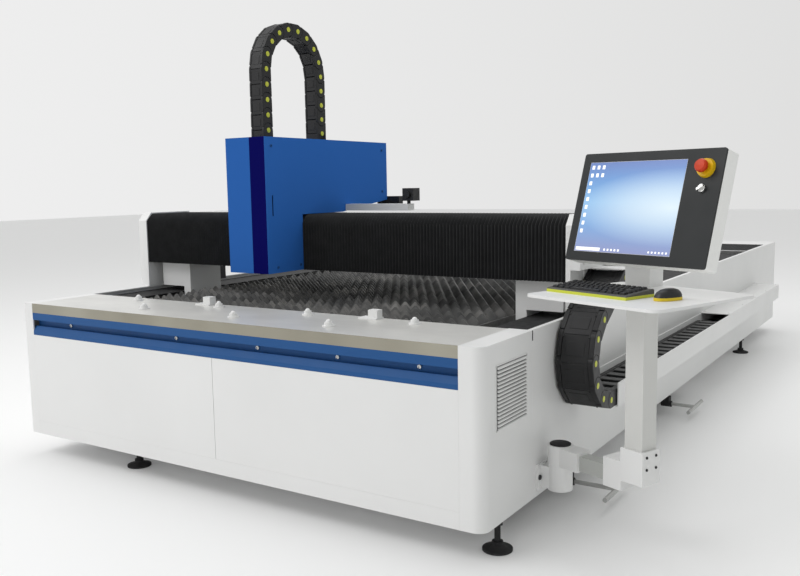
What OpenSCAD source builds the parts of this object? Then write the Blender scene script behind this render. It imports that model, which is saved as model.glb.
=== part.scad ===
// Gantry-type laser cutting table with a swing-arm operator console.
// The pieces are drawn on the machine's own axes: X across the table from the outside of
// the left skin, Y from the front face to the rear, Z up from the floor.

/* [Base] */
// Width over the side skins
base_w = 2250; // [2100:10:2500]
// Length from the front face to the rear face
base_l = 4820; // [4700:10:5400]
// Height of the table edge above the floor
table_z = 677; // [650:1:720]
// Height of the skirt's lower edge above the floor
skirt_z = 98; // [90:1:120]
// Thickness of the folded skins and panels
skin_t = 5; // [3:0.5:7]
// Width of the folded lip on top of the side skins
lip_w = 18; // [14:1:22]
// Height of the plinth strip below the front panels
plinth_h = 57; // [40:1:80]
// Height of the coloured channel under the shelf
channel_h = 97; // [80:1:110]
// Width of the white corner at the left end of the front
corner_w = 53; // [40:1:70]
// Width of the end cap at the right end of the front
cap_w = 85; // [82:1:110]
// Length of the end cap along the right side
cap_l = 352; // [320:1:360]
// Radius of the end cap's rounded corner
cap_r = 40; // [20:1:40]
// Depth of the stainless shelf behind the front face
shelf_d = 345; // [300:1:350]
// Height of the stainless shelf's front lip
shelf_lip = 40; // [30:1:50]
// Length of the closed deck at the rear
deck_l = 930; // [600:10:940]

/* [Frame] */
// Wall of the welded box beams
beam_wall = 10; // [6:1:14]
// Inner face of the rail beam, measured from the outside of the skin
rail_beam_w = 240; // [210:1:250]
// Top of the rail beam, where the rail is bolted
rail_seat_z = 560; // [545:1:570]
// Underside of the box part of the rail beam
rail_beam_z = 300; // [240:10:380]
// Section of the cross members
cross_h = 120; // [80:5:160]
// Number of cross members under the slats
cross_n = 5; // [3:1:7]

/* [Slat bed] */
// Distance between slats
slat_pitch = 75; // [60:5:100]
// Thickness of a slat
slat_t = 4; // [2:0.5:6]
// Height of a slat, tooth tips included
slat_h = 115; // [80:1:115]
// Distance between two teeth of a slat
tooth_pitch = 48; // [36:2:80]
// Depth of the teeth
tooth_h = 20; // [10:1:30]
// Length of the slat bed along the table
bed_l = 3440; // [3000:5:3440]

/* [Gantry] */
// Front of the bellows when the gantry is parked at the front
gantry_y = 685; // [640:1:720]
// Depth of the bellows from front to back
gantry_d = 265; // [255:1:290]
// Underside of the beam above the floor
beam_z = 798; // [780:1:830]
// Height of the bellows
bellows_h = 241; // [235:1:270]
// Chamfer along the top front edge of the bellows
bellows_chamfer = 34; // [20:1:50]
// Distance between two pleats
pleat_pitch = 15; // [12:1:24]
// Depth of a pleat
pleat_d = 10; // [6:1:14]
// Thickness of the white covers at the beam's ends
end_t = 55; // [40:1:70]
// Inset of the bellows from the side skins
end_inset = 18; // [10:1:30]

/* [Cutting head] */
// Left face of the head cover
cover_x = 797; // [650:1:1100]
// Width of the head cover
cover_w = 217; // [200:1:240]
// Front face of the head cover
cover_y = 458; // [440:1:480]
// Length of the head cover from front to rear
cover_l = 896; // [850:1:960]
// Underside of the cover's front column
cover_z = 800; // [796:1:820]
// Top of the head cover
cover_top = 1367; // [1340:1:1400]
// Height of the cover's slanted rear end
cover_rear_h = 278; // [240:1:300]
// Thickness of the head cover's sheet
cover_t = 4; // [2:0.5:5]

/* [Drag chains] */
// Thickness of the long side chain
chain_h = 62; // [54:1:66]
// Width of the long side chain
chain_w = 137; // [110:1:140]
// Bend radius of the long side chain at its pivots
chain_r = 163; // [150:1:170]
// Thickness of the head's arched chain
arch_h = 59; // [50:1:62]
// Width of the head's arched chain
arch_w = 72; // [60:1:80]
// Bend radius of the head's arched chain at its pivots
arch_r = 182; // [160:1:190]
// Height of the arch's bend centre
arch_z = 1651; // [1620:1:1700]
// Thickness of the beam chain
beam_chain_h = 26; // [20:1:28]
// Width of the beam chain
beam_chain_w = 70; // [50:1:76]
// Bend radius of the beam chain at its pivots
beam_chain_r = 58; // [50:1:60]
// Width of the tray that carries the side chain
tray_w = 152; // [150:1:180]
// Height of the tray's outer lip
tray_lip = 88; // [70:1:95]
// Start of the tray, measured from the front face
tray_y = 770; // [720:5:800]
// Fixed end of the side chain, measured from the front face
chain_fixed_y = 2583; // [2450:1:2700]
// Rear end of the tray, measured from the front face
tray_end_y = 4099; // [3800:1:4300]

/* [Console] */
// Swing of the arm from the machine's X axis at rest
arm_angle = -20.8; // [-30:0.1:-10]
// Radius of the pivot drum
drum_r = 42; // [36:1:46]
// Distance of the pivot from the side skin
drum_off = 66; // [60:1:80]
// Distance of the pivot from the front face
drum_y = 434; // [425:1:450]
// Length of the arm from the pivot to the column
arm_l = 330; // [310:1:360]
// Height of the arm's section
arm_h = 58; // [40:1:64]
// Side of the square column
column_s = 66; // [50:1:80]
// Height of the keyboard shelf's top
desk_z = 811; // [780:1:830]
// Width of the keyboard shelf
desk_w = 507; // [450:1:530]
// Depth of the keyboard shelf
desk_d = 485; // [440:1:520]
// Thickness of the keyboard shelf
desk_t = 9; // [6:1:16]
// Corner radius of the keyboard shelf
desk_r = 30; // [15:1:50]
// Width of the screen
screen_w = 380; // [340:1:400]
// Height of the screen
screen_h = 304; // [280:1:320]
// Width of the control strip to the right of the screen
strip_w = 126; // [110:1:140]
// Width of the bezel on the other sides of the screen
bezel_w = 30; // [20:1:40]
// Depth of the monitor case
monitor_d = 62; // [50:1:75]
// Backward lean of the monitor
monitor_tilt = 16; // [8:1:22]

/* [Scrap pans] */
// Width of a scrap pan along the machine
pan_w = 850; // [700:5:900]
// Height of a scrap pan
pan_h = 60; // [40:1:62]
// Length of the T-bar on a pan's handle
handle_l = 255; // [180:1:280]

/* [Hidden] */
$fn = 48;
// Running gap between pieces that slide past each other
run_gap = 2;
// Small gap at a seat between bodies
seat_gap = 0.3;

// Colours
white_paint = [0.92, 0.92, 0.91];
blue_paint = [0.13, 0.31, 0.60];
black_plastic = [0.07, 0.07, 0.08];
dark_grey = [0.22, 0.22, 0.24];
steel = [0.70, 0.70, 0.68];

// Base heights and places
shelf_under = table_z - skin_t;
channel_top = table_z - shelf_lip;
channel_bottom = channel_top - channel_h;
panel_top = channel_bottom - seat_gap;
plinth_top = skirt_z + plinth_h;
cap_x = base_w - cap_w;
cap_return = 60;
sill_y = 120;
sill_w = 80;
sill_h = 60;
web_t = 10;
flange_w = 75;
flange_t = 10;
deck_y = base_l - deck_l;
bed_x0 = rail_beam_w + 45;
bed_x1 = base_w - bed_x0;
bed_y = shelf_d + 20;
bed_z = table_z - 2 - slat_h;
support_t = 10;
ledge_w = 40;
ledge_t = 10;
cross_z = 300;
cross_w = 100;
slat_gap = 1;

// Rails under their covers
cover_plate_z = 650;
cover_plate_t = 6;
cover_plate_w = 190;
rail_x = 150;
rail_w = 28;
rail_h = 28;
rail_y0 = shelf_d + 5;
rail_y1 = deck_y - 10;
rack_x = 60;
rack_w = 20;
rack_h = 30;
rack_tooth = 25;

// Gantry
beam_x0 = end_inset;
beam_x1 = base_w - end_inset;
beam_front = gantry_y + 45;
beam_back = gantry_y + gantry_d;
bellows_top = beam_z + bellows_h;
bellows_t = 20;
beam_top = bellows_top - 29;
foot_x0 = 52;
foot_x1 = 245;
foot_y0 = gantry_y + 58;
foot_z = table_z + 3;
riser_x0 = 200;
saddle_z0 = 606;
saddle_z1 = 634;
slider_x0 = rail_x - 35;
slider_x1 = rail_x + 35;
guide_w = 22;
guide_d = 15;
guide_z = [beam_z + 52, beam_z + 160];

// Carriage and head
cover_x1 = cover_x + cover_w;
cover_y1 = cover_y + cover_l;
cover_mid = cover_x + cover_w / 2;
plate_x0 = cover_x - 1;
plate_x1 = cover_x1 + 2;
plate_y = gantry_y + 5;
plate_t = 16;
plate_top = bellows_top - 3;
arm_under = bellows_top + 2;
arm_flat_l = 291;
arch_x = cover_mid + 15;
arch_y = cover_y + 277;
head_x = cover_mid;
head_y = cover_y + 95;

// Chain pitches follow from a whole number of links round each bend
chain_half_n = 6;
chain_bend_n = 5;
chain_pitch = 2 * chain_r * sin(90 / chain_half_n);
chain_climb = 180 - chain_bend_n * 180 / chain_half_n;
arch_bend_n = 9;
arch_front_n = 6;
arch_rear_n = 4;
arch_pitch = 2 * arch_r * sin(90 / arch_bend_n);
beam_bend_n = 6;
beam_pitch = 2 * beam_chain_r * sin(90 / beam_bend_n);
chain_x = base_w + (tray_w - chain_w) / 2;
tray_t = 4;
tray_z = 430 - tray_lip;
chain_z = tray_z + tray_t + seat_gap + chain_h / 2;
chain_bend_y = 718;
chain_lower_n = floor((chain_fixed_y - 30 - chain_bend_y) / chain_pitch);
chain_upper_n = 3;
bracket_t = 5;
climb_y = chain_bend_y - chain_r * sin(chain_climb);
climb_z = chain_z + chain_r + chain_r * cos(chain_climb);
chain_end_y = climb_y + chain_upper_n * chain_pitch * cos(chain_climb);
chain_end_z = climb_z + chain_upper_n * chain_pitch * sin(chain_climb);
bracket_top = chain_end_z + chain_h / 2 + seat_gap + bracket_t;
beam_bend_x = cover_x - 420;
beam_chain_y = beam_back + 22;
beam_chain_z = plate_top - 4 - beam_chain_h / 2 - 2 * beam_chain_r;
beam_lower_n = 24;
beam_upper_n = floor((cover_mid - 30 - beam_bend_x) / beam_pitch);

// Console
drum_x = base_w + drum_off;
drum_z0 = 123;
drum_z1 = 210;
drum_top = 279;
arm_z = drum_z1 + seat_gap;
sleeve_z = arm_z + 30;
sleeve_h = 105;
sleeve_w = column_s + 18;
column_z = sleeve_z + 8;
desk_u0 = -312;
desk_v0 = -190;
post_u = -190;
post_w = 100;
post_d = 70;
monitor_w = bezel_w + screen_w + strip_w;
monitor_h = screen_h + 2 * bezel_w;
screen_u = -150;
screen_v = 112;
screen_z = 1077;
pivot_back = 26;
hinge_v = screen_v + (pivot_back + monitor_d) * cos(monitor_tilt);
hinge_z = screen_z - (pivot_back + monitor_d) * sin(monitor_tilt);
hinge_w = post_w - 22;
hinge_r = 14;
post_v = hinge_v + hinge_r + 4;
strip_u = screen_w / 2 + strip_w * 0.55;
estop_w = screen_h / 2 - 31;
selector_w = estop_w - 62;
estop_stem_r = 11;
selector_stem_r = 7;

// Scrap pans and their runners
pan_y = [290, 1590];
pan_x0 = 300;
pan_x1 = base_w - 100;
pan_t = 3;
runner_t = 5;
runner_w = 36;
pan_z = skirt_z - 72;
handle_reach = [170, 120];
handle_z = pan_z + 24;

// The row's origin: middle of the machine's outline, on the floor
desk_out_x = drum_x + arm_l * cos(arm_angle)
    + (desk_u0 + desk_w - desk_r) * cos(arm_angle)
    - (desk_v0 + desk_d - desk_r) * sin(arm_angle) + desk_r;
origin_x = (desk_out_x + end_inset - end_t) / 2;
origin_y = base_l / 2;

// Moves a piece from the machine's axes to the row's origin
module on_machine() translate([-origin_x, -origin_y, 0]) children();

// Draws a piece on the left and its mirror image on the right
module both_sides() {
    children();
    translate([base_w, 0, 0]) mirror([1, 0, 0]) children();
}

// Box from one corner to the opposite one
module span(a, b) translate(a) cube(b - a);

// Profile in X and Z, drawn out along Y
module along_y(y0, y1) translate([0, y1, 0]) rotate([90, 0, 0]) linear_extrude(y1 - y0) children();

// Profile in Y and Z, drawn out along X
module along_x(x0, x1) translate([x0, 0, 0]) rotate([90, 0, 90]) linear_extrude(x1 - x0) children();

// Rectangle from one corner to the opposite one
module rect(a, b) translate(a) square(b - a);

// Rectangle with rounded corners, centred
module round_rect(size, r) {
    square([size[0] - 2 * r, size[1]], center = true);
    square([size[0], size[1] - 2 * r], center = true);
    for (sx = [-1, 1])
        for (sy = [-1, 1])
            translate([sx * (size[0] / 2 - r), sy * (size[1] / 2 - r)]) circle(r);
}

// One drag-chain link from its rear pivot at the origin to its front pivot at [pitch, 0]:
// two side plates, each with a round nose and a hollow heel, and two cross bars.
// The profile lies in X and Y; the link's width runs along Z, centred.
function heel(h) = h * 0.24;
module chain_link(pitch, h, w) {
    plate = w * 0.13;
    bar = h * 0.14;
    boss_r = h * 0.13;
    boss_t = 1.5;
    for (side = [-1, 1])
        translate([0, 0, side * (w - plate) / 2 - plate / 2]) linear_extrude(plate) difference() {
            union() {
                rect([heel(h), -h / 2], [pitch, h / 2]);
                translate([pitch, 0]) circle(h / 2);
            }
            circle(h / 2 + 0.6);
        }
    bar_x0 = sqrt(h * bar - bar * bar) + 2;
    bar_x1 = pitch * 0.86;
    for (side = [-1, 1])
        translate([(bar_x0 + bar_x1) / 2, side * (h - bar) / 2, 0])
            cube([bar_x1 - bar_x0, bar, w - plate], center = true);
    for (side = [-1, 1])
        translate([pitch, 0, side * (w + boss_t) / 2]) cylinder(r = boss_r, h = boss_t, center = true);
}

// Links in a straight row along +X from the origin
module straight_links(n, pitch, h, w)
    for (i = [0:n - 1])
        translate([i * pitch, 0, 0]) chain_link(pitch, h, w);

// Links round a bend to the left, from the origin along +X; a half turn takes half_n links
module bend_links(n, half_n, pitch, h, w, r) {
    step = 180 / half_n;
    for (i = [0:n - 1]) {
        a = i * step;
        translate([r * sin(a), r - r * cos(a), 0]) rotate([0, 0, a + step / 2]) chain_link(pitch, h, w);
    }
}

// Bellows: a pleated skin over the front and top of the beam between two X places
function bellows_profile(d) = [
    [gantry_y + d, beam_z],
    [gantry_y + d, bellows_top - bellows_chamfer - d * 0.4],
    [gantry_y + bellows_chamfer + d * 0.4, bellows_top - d],
    [beam_back, bellows_top - d]
];
module bellows(x0, x1) {
    folds = 2 * round((x1 - x0) / pleat_pitch);
    step = (x1 - x0) / folds;
    lining = bellows_profile(bellows_t);
    inner = [lining[3], lining[2], lining[1], lining[0]];
    ring_n = 8;
    points = [
        for (i = [0:folds])
            for (p = concat(bellows_profile(i % 2 == 0 ? 0 : pleat_d), inner))
                [x0 + i * step, p[0], p[1]]
    ];
    sides = [
        for (i = [0:folds - 1])
            for (k = [0:ring_n - 1])
                let (a = i * ring_n + k, b = i * ring_n + (k + 1) % ring_n)
                    [a, b, b + ring_n, a + ring_n]
    ];
    caps = [
        for (i = [0, folds])
            for (k = [0:2])
                let (q = [k, k + 1, ring_n - 2 - k, ring_n - 1 - k])
                    [for (j = [0:3]) i * ring_n + q[i == 0 ? 3 - j : j]]
    ];
    polyhedron(points, concat(sides, caps));
}

// Welded side beams: a full-height web, a foot flange and a box that carries the rail
module rail_beams() color(white_paint) both_sides() along_y(cap_return, base_l - skin_t) difference() {
    union() {
        rect([skin_t, skirt_z], [skin_t + web_t, cover_plate_z]);
        rect([skin_t, skirt_z], [skin_t + flange_w, skirt_z + flange_t]);
        rect([skin_t, rail_beam_z], [rail_beam_w, rail_seat_z]);
    }
    rect([skin_t + web_t, rail_beam_z + beam_wall], [rail_beam_w - beam_wall, rail_seat_z - beam_wall]);
}

// Tube across the machine at a given place
module cross_tube(y, z, x0, w, h) along_x(x0, base_w - x0) difference() {
    rect([y - w / 2, z], [y + w / 2, z + h]);
    rect([y - w / 2 + beam_wall, z + beam_wall], [y + w / 2 - beam_wall, z + h - beam_wall]);
}

// Cross tubes, front and rear sills, the tube under the shelf and the pan runners
module cross_members() color(white_paint) {
    for (i = [0:cross_n - 1])
        cross_tube(bed_y + 60 + i * (bed_l - 120) / (cross_n - 1), cross_z, rail_beam_w, cross_w, cross_h);
    for (y = [sill_y, base_l - sill_y])
        cross_tube(y, skirt_z, skin_t + flange_w, sill_w, sill_h);
    cross_tube(110, rail_seat_z, skin_t + web_t + 5, 100, shelf_under - rail_seat_z);
    for (y = pan_y) {
        pan_runner(y - 2, 1);
        pan_runner(y + pan_w + 2, -1);
    }
}
module pan_runner(y, dir) {
    low = pan_z - seat_gap - runner_t;
    y0 = dir > 0 ? y - runner_t : y;
    along_x(skin_t + 20, base_w - skin_t - 20) rect([y0, skirt_z - 16], [y0 + runner_t, skirt_z]);
    along_x(100, base_w - 100) {
        rect([y0, low], [y0 + runner_t, skirt_z - 16]);
        rect([dir > 0 ? y0 : y - runner_w, low], [dir > 0 ? y + runner_w : y0 + runner_t, low + runner_t]);
    }
}

// Side skin profile with its folded lip
module skin_profile() {
    rect([0, skirt_z], [skin_t, table_z]);
    rect([0, shelf_under], [lip_w, table_z]);
}
module side_skin_left() color(white_paint) {
    along_y(0, base_l) skin_profile();
    span([0, 0, skirt_z], [corner_w, skin_t, table_z]);
    span([0, 0, shelf_under], [corner_w, shelf_d, table_z]);
}
module side_skin_right() color(white_paint)
    translate([base_w, 0, 0]) mirror([1, 0, 0]) along_y(cap_l + seat_gap, base_l) skin_profile();

// Rear wall with the closed deck folded forward from its top
module rear_panel() color(white_paint) {
    span([skin_t, base_l - skin_t, skirt_z], [base_w - skin_t, base_l, shelf_under]);
    span([lip_w, deck_y, shelf_under], [base_w - lip_w, base_l, table_z]);
}

// End cap wrapped round the right front corner, closed on top
module cap_outline(inset) {
    rect([cap_x, inset], [base_w - cap_r, cap_l]);
    rect([cap_x, cap_r], [base_w - inset, cap_l]);
    translate([base_w - cap_r, cap_r]) circle(cap_r - inset);
}
module front_end_cap() color(white_paint) {
    translate([0, 0, skirt_z]) linear_extrude(table_z - skirt_z) difference() {
        cap_outline(0);
        difference() {
            cap_outline(skin_t);
            rect([cap_x, 0], [cap_x + skin_t, cap_return]);
        }
    }
    translate([0, 0, shelf_under]) linear_extrude(skin_t) cap_outline(0);
}

// Two pan-shaped front panels with a seam between them
module front_panels() color(white_paint) {
    seam_x = (corner_w + cap_x) / 2 + 19;
    front_panel(corner_w + seat_gap, seam_x - 1);
    front_panel(seam_x + 1, cap_x - seat_gap);
}
module front_panel(x0, x1) {
    fold = 28;
    low = plinth_top + seat_gap;
    difference() {
        span([x0, 0, low], [x1, fold, panel_top]);
        span([x0 + skin_t, skin_t, low + skin_t], [x1 - skin_t, fold + 1, panel_top - skin_t]);
    }
}

// Plinth strip under the front panels
module front_plinth() color(white_paint) along_x(corner_w + seat_gap, cap_x - seat_gap) {
    rect([0, skirt_z], [skin_t, plinth_top]);
    rect([0, skirt_z], [cap_return, skirt_z + skin_t]);
    rect([0, plinth_top - skin_t], [28, plinth_top]);
}

// Coloured channel: an upper lip, a deep groove and a slanted lower band
module front_channel() color(blue_paint) along_x(corner_w + seat_gap, cap_x - seat_gap) {
    groove_d = 30;
    groove_top = channel_top - 31;
    groove_low = channel_bottom + 38;
    band_low = channel_bottom + 16;
    band_d = 14;
    t = 4;
    polygon([
        [0, channel_bottom], [0, band_low], [band_d, groove_low], [groove_d, groove_low],
        [groove_d, groove_top], [0, groove_top], [0, channel_top], [t, channel_top],
        [t, groove_top + t], [groove_d + t, groove_top + t], [groove_d + t, groove_low - t],
        [band_d + t, groove_low - t], [t, band_low - 2], [t, channel_bottom]
    ]);
}

// Stainless shelf folded down at the front and the rear
module steel_shelf() color(steel) along_x(corner_w, cap_x) {
    rect([0, shelf_under], [shelf_d, table_z]);
    rect([0, channel_top], [skin_t, table_z]);
    rect([shelf_d - skin_t, shelf_under - 25], [shelf_d, table_z]);
}

// Ball transfer units in two staggered rows on the shelf
module ball_units() color(white_paint) {
    row_front = 110;
    row_rear = 285;
    for (x = [645, 1140, 1591])
        translate([x, row_front, table_z]) ball_unit();
    for (x = [405, 892, 1357, 1835])
        translate([x, row_rear, table_z]) ball_unit();
}
module ball_unit() {
    ball_r = 10;
    cup_r = 14.5;
    cup_h = 15;
    flange_r = 22;
    ball_z = 15;
    difference() {
        union() {
            cylinder(r = flange_r, h = 4);
            cylinder(r = cup_r, h = cup_h);
        }
        translate([0, 0, ball_z]) sphere(ball_r + seat_gap);
    }
    translate([0, 0, ball_z]) sphere(ball_r);
}

// Sheet stops on the shelf's rear edge: a foot plate with an upright block
module sheet_stops() color(white_paint) for (x = [745, 1585])
    translate([x, shelf_d - 52, table_z]) {
        cube([80, 50, 5]);
        translate([40, 8, 0]) cube([40, 34, 34]);
    }

// Pressed louvre plate on the end cap's side
module louvre_vent() color(white_paint) {
    vent_y = 78;
    vent_w = 227;
    vent_z = 399;
    vent_h = 210;
    blades = 17;
    plate = 2;
    reach = 9;
    pitch = (vent_h - 6) / blades;
    along_y(vent_y, vent_y + vent_w) rect([base_w, vent_z], [base_w + plate, vent_z + vent_h]);
    for (i = [0:blades - 1])
        along_y(vent_y + 8, vent_y + vent_w - 8) polygon([
            [base_w + plate - 1, vent_z + 3 + (i + 0.15) * pitch],
            [base_w + plate + reach - 2, vent_z + 3 + (i + 0.15) * pitch],
            [base_w + plate + reach - 3, vent_z + 3 + (i + 0.45) * pitch],
            [base_w + plate - 1, vent_z + 3 + (i + 0.9) * pitch]
        ]);
}

// Flat covers over the rails, carried on the webs of the side beams
module rail_covers() color(black_plastic) both_sides()
    span([skin_t, rail_y0, cover_plate_z], [skin_t + cover_plate_w, rail_y1, cover_plate_z + cover_plate_t]);

// Linear rails on the side beams
module rail_section(w, h) polygon([
    [-w / 2, 0], [w / 2, 0], [w / 2, h * 0.25], [w * 0.36, h * 0.45], [w * 0.36, h * 0.6],
    [w / 2, h * 0.8], [w / 2, h], [-w / 2, h], [-w / 2, h * 0.8], [-w * 0.36, h * 0.6],
    [-w * 0.36, h * 0.45], [-w / 2, h * 0.25]
]);
module linear_rails() color(steel) both_sides()
    along_y(rail_y0, rail_y1) translate([rail_x, rail_seat_z]) rail_section(rail_w, rail_h);

// Toothed racks beside the rails
module gear_racks() color(steel) both_sides() translate([rack_x, 0, rail_seat_z]) linear_extrude(rack_h) {
    n = floor((rail_y1 - rail_y0) / rack_tooth);
    polygon(concat(
        [[0, rail_y0], [rack_w - 8, rail_y0]],
        [for (i = [0:n - 1])
            for (p = [[-8, 0.05], [0, 0.3], [0, 0.6], [-8, 0.85]])
                [rack_w + p[0], rail_y0 + (i + p[1]) * rack_tooth]],
        [[rack_w - 8, rail_y1], [0, rail_y1]]
    ));
}

// Slotted side plates with a ledge that the slats stand on
module slat_supports() color(dark_grey) both_sides() along_y(bed_y, bed_y + bed_l) {
    rect([bed_x0, cross_z + cross_h], [bed_x0 + support_t, table_z - 32]);
    rect([bed_x0, bed_z - ledge_t], [bed_x0 + support_t + ledge_w, bed_z]);
}

// Toothed support slats across the bed
module slats() color(black_plastic) {
    x0 = bed_x0 + support_t + slat_gap;
    x1 = bed_x1 - support_t - slat_gap;
    teeth = floor((x1 - x0) / tooth_pitch);
    pitch = (x1 - x0) / teeth;
    n = floor((bed_l - 40) / slat_pitch);
    tip = bed_z + slat_h;
    for (i = [0:n])
        translate([0, bed_y + 20 + i * slat_pitch + slat_t, 0]) rotate([90, 0, 0]) linear_extrude(slat_t)
            polygon(concat(
                [[x0, bed_z]],
                [for (k = [0:teeth - 1])
                    for (p = [[0, tooth_h], [0.42, 0], [0.58, 0]])
                        [x0 + (k + p[0]) * pitch, tip - p[1]]],
                [[x1, tip - tooth_h], [x1, bed_z]]
            ));
}

// Outboard tray for the side chain and the flat lid over its rear half
module chain_tray() color(white_paint) {
    along_y(tray_y, tray_end_y) {
        rect([base_w, tray_z], [base_w + tray_w, tray_z + tray_t]);
        rect([base_w, tray_z], [base_w + tray_t, tray_z + tray_lip]);
        rect([base_w + tray_w - tray_t, tray_z], [base_w + tray_w, tray_z + tray_lip]);
    }
    span([base_w, tray_end_y - tray_t, tray_z], [base_w + tray_w, tray_end_y, tray_z + tray_lip]);
}
module tray_cover() color(white_paint)
    span([base_w, chain_fixed_y, tray_z + tray_lip], [base_w + tray_w, tray_end_y, tray_z + tray_lip + tray_t]);

// Turns a chain drawn in X and Y so that it runs towards the front in the machine's Y and Z
module side_chain(y, z) translate([chain_x + chain_w / 2, y, z]) rotate([90, 0, -90]) children();
module chain_lower_run() color(black_plastic) {
    side_chain(chain_bend_y + chain_lower_n * chain_pitch, chain_z)
        straight_links(chain_lower_n, chain_pitch, chain_h, chain_w);
    span(
        [chain_x, chain_bend_y + chain_lower_n * chain_pitch + 2, tray_z + tray_t],
        [chain_x + chain_w, chain_fixed_y, chain_z + chain_h / 4]
    );
}
module chain_loop() color(black_plastic) side_chain(chain_bend_y, chain_z)
    bend_links(chain_bend_n, chain_half_n, chain_pitch, chain_h, chain_w, chain_r);
module chain_upper_run() color(black_plastic)
    translate([chain_x + chain_w / 2, climb_y, climb_z]) rotate([90, 0, 90]) rotate([0, 0, chain_climb])
        straight_links(chain_upper_n, chain_pitch, chain_h, chain_w);

// Levelling feet: a pad, a stud and a lock nut
module levelling_feet() color(black_plastic) {
    edge = 22;
    for (p = [
        [base_w - edge, 134], [base_w - edge, 3776],
        [edge, 880], [edge, 2350], [edge, 3776],
        [551, 120], [551, base_l - 120], [base_w - 551, base_l - 120]
    ])
        translate([p[0], p[1], 0]) levelling_foot();
}
module levelling_foot() {
    pad_r = 49;
    stud_r = 10;
    nut_h = 14;
    rotate_extrude() polygon([
        [0, 0], [pad_r, 0], [pad_r, 7], [pad_r * 0.55, 14], [stud_r * 1.8, 20],
        [stud_r * 1.8, 30], [0, 30]
    ]);
    cylinder(r = stud_r, h = skirt_z);
    translate([0, 0, skirt_z - nut_h]) cylinder(r = stud_r * 1.9, h = nut_h, $fn = 6);
}

// Wall bracket and fixed lower half of the console's pivot
module console_bracket() color(white_paint) {
    difference() {
        union() {
            translate([drum_x, drum_y, drum_z0]) cylinder(r = drum_r, h = drum_z1 - drum_z0);
            span([base_w, drum_y - 34, drum_z0 + 6], [drum_x, drum_y + 34, drum_z1 - 6]);
            span([base_w, drum_y - 56, drum_z0], [base_w + 10, drum_y + 74, drum_z1]);
        }
        for (y = [-46, 60])
            translate([base_w - 1, drum_y + y, (drum_z0 + drum_z1) / 2]) rotate([0, 90, 0]) cylinder(r = 6, h = 12);
    }
    translate([drum_x, drum_y, drum_z1]) cylinder(r = 14, h = drum_top - drum_z1 - 12);
}

// Box beam of the gantry
module beam() color(white_paint) along_x(beam_x0, beam_x1) difference() {
    rect([beam_front, beam_z], [beam_back, beam_top]);
    rect([beam_front + beam_wall, beam_z + beam_wall], [beam_back - beam_wall, beam_top - beam_wall]);
}

// White covers on the beam's ends; the right one steps in above the side chain
module end_outline(low) polygon([
    [gantry_y - 5, low], [gantry_y - 5, bellows_top - bellows_chamfer],
    [gantry_y - 5 + bellows_chamfer, bellows_top + 5], [beam_back + 20, bellows_top + 5],
    [beam_back + 20, low]
]);
module beam_end_left() color(white_paint)
    along_x(beam_x0 - end_t, beam_x0) end_outline(table_z + run_gap);
module beam_end_right() color(white_paint) {
    along_x(beam_x1, beam_x1 + end_t) end_outline(bracket_top);
    along_x(beam_x1, base_w) end_outline(table_z + run_gap);
}

// Gantry feet: a block under the beam, a riser beside the rail cover and a saddle on the rail
module gantry_feet() color(white_paint) both_sides() {
    span([foot_x0, foot_y0, foot_z], [foot_x1, beam_back, beam_z]);
    span([riser_x0, foot_y0, saddle_z0], [foot_x1, beam_back, foot_z]);
    span([slider_x0, foot_y0, saddle_z0], [foot_x1, beam_back, saddle_z1]);
    span([rack_x + rack_w + run_gap, beam_back - 80, saddle_z0], [slider_x0, beam_back, saddle_z1]);
    for (y = [foot_y0 + 10, beam_back - 90])
        difference() {
            span([slider_x0, y, rail_seat_z + 6], [slider_x1, y + 80, saddle_z0]);
            span(
                [rail_x - rail_w / 2 - 0.5, y - 1, rail_seat_z],
                [rail_x + rail_w / 2 + 0.5, y + 81, rail_seat_z + rail_h + 0.5]
            );
        }
}

// Drive motors on the rear of the feet, with their gearboxes
module gantry_motors() color(dark_grey) both_sides() {
    motor_x = (foot_x0 + foot_x1) / 2;
    box = 90;
    motor_r = 40;
    box_h = 66;
    motor_h = 80;
    cap_h = 20;
    translate([motor_x, beam_back + box / 2, foot_z + 10]) {
        translate([-box / 2, -box / 2, 0]) cube([box, box, box_h]);
        translate([0, 0, box_h]) cylinder(r = motor_r, h = motor_h);
        translate([0, 0, box_h + motor_h]) cylinder(r = motor_r * 0.8, h = cap_h);
    }
}

// Guide rails on the beam's front face
module beam_rails() color(steel) for (z = guide_z)
    along_x(beam_x0 + 20, beam_x1 - 20) translate([beam_front, z]) rotate([0, 0, 90]) rail_section(guide_w, guide_d);

module bellows_left() color(black_plastic) bellows(beam_x0, plate_x0);
module bellows_right() color(black_plastic) bellows(plate_x1, beam_x1);

// Deep tray behind the beam for the lower run of the beam chain
module beam_chain_tray() color(white_paint) {
    low = beam_chain_z - beam_chain_h / 2 - seat_gap - tray_t;
    wall = 52;
    y0 = beam_back;
    y1 = beam_chain_y + beam_chain_w + 58;
    along_x(beam_x0 + 22, beam_x1 - 240) {
        rect([y0, low], [y1, low + tray_t]);
        rect([y0, low], [y0 + tray_t, low + wall]);
        rect([y1 - tray_t, low], [y1, bellows_top - 20]);
    }
}

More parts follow.
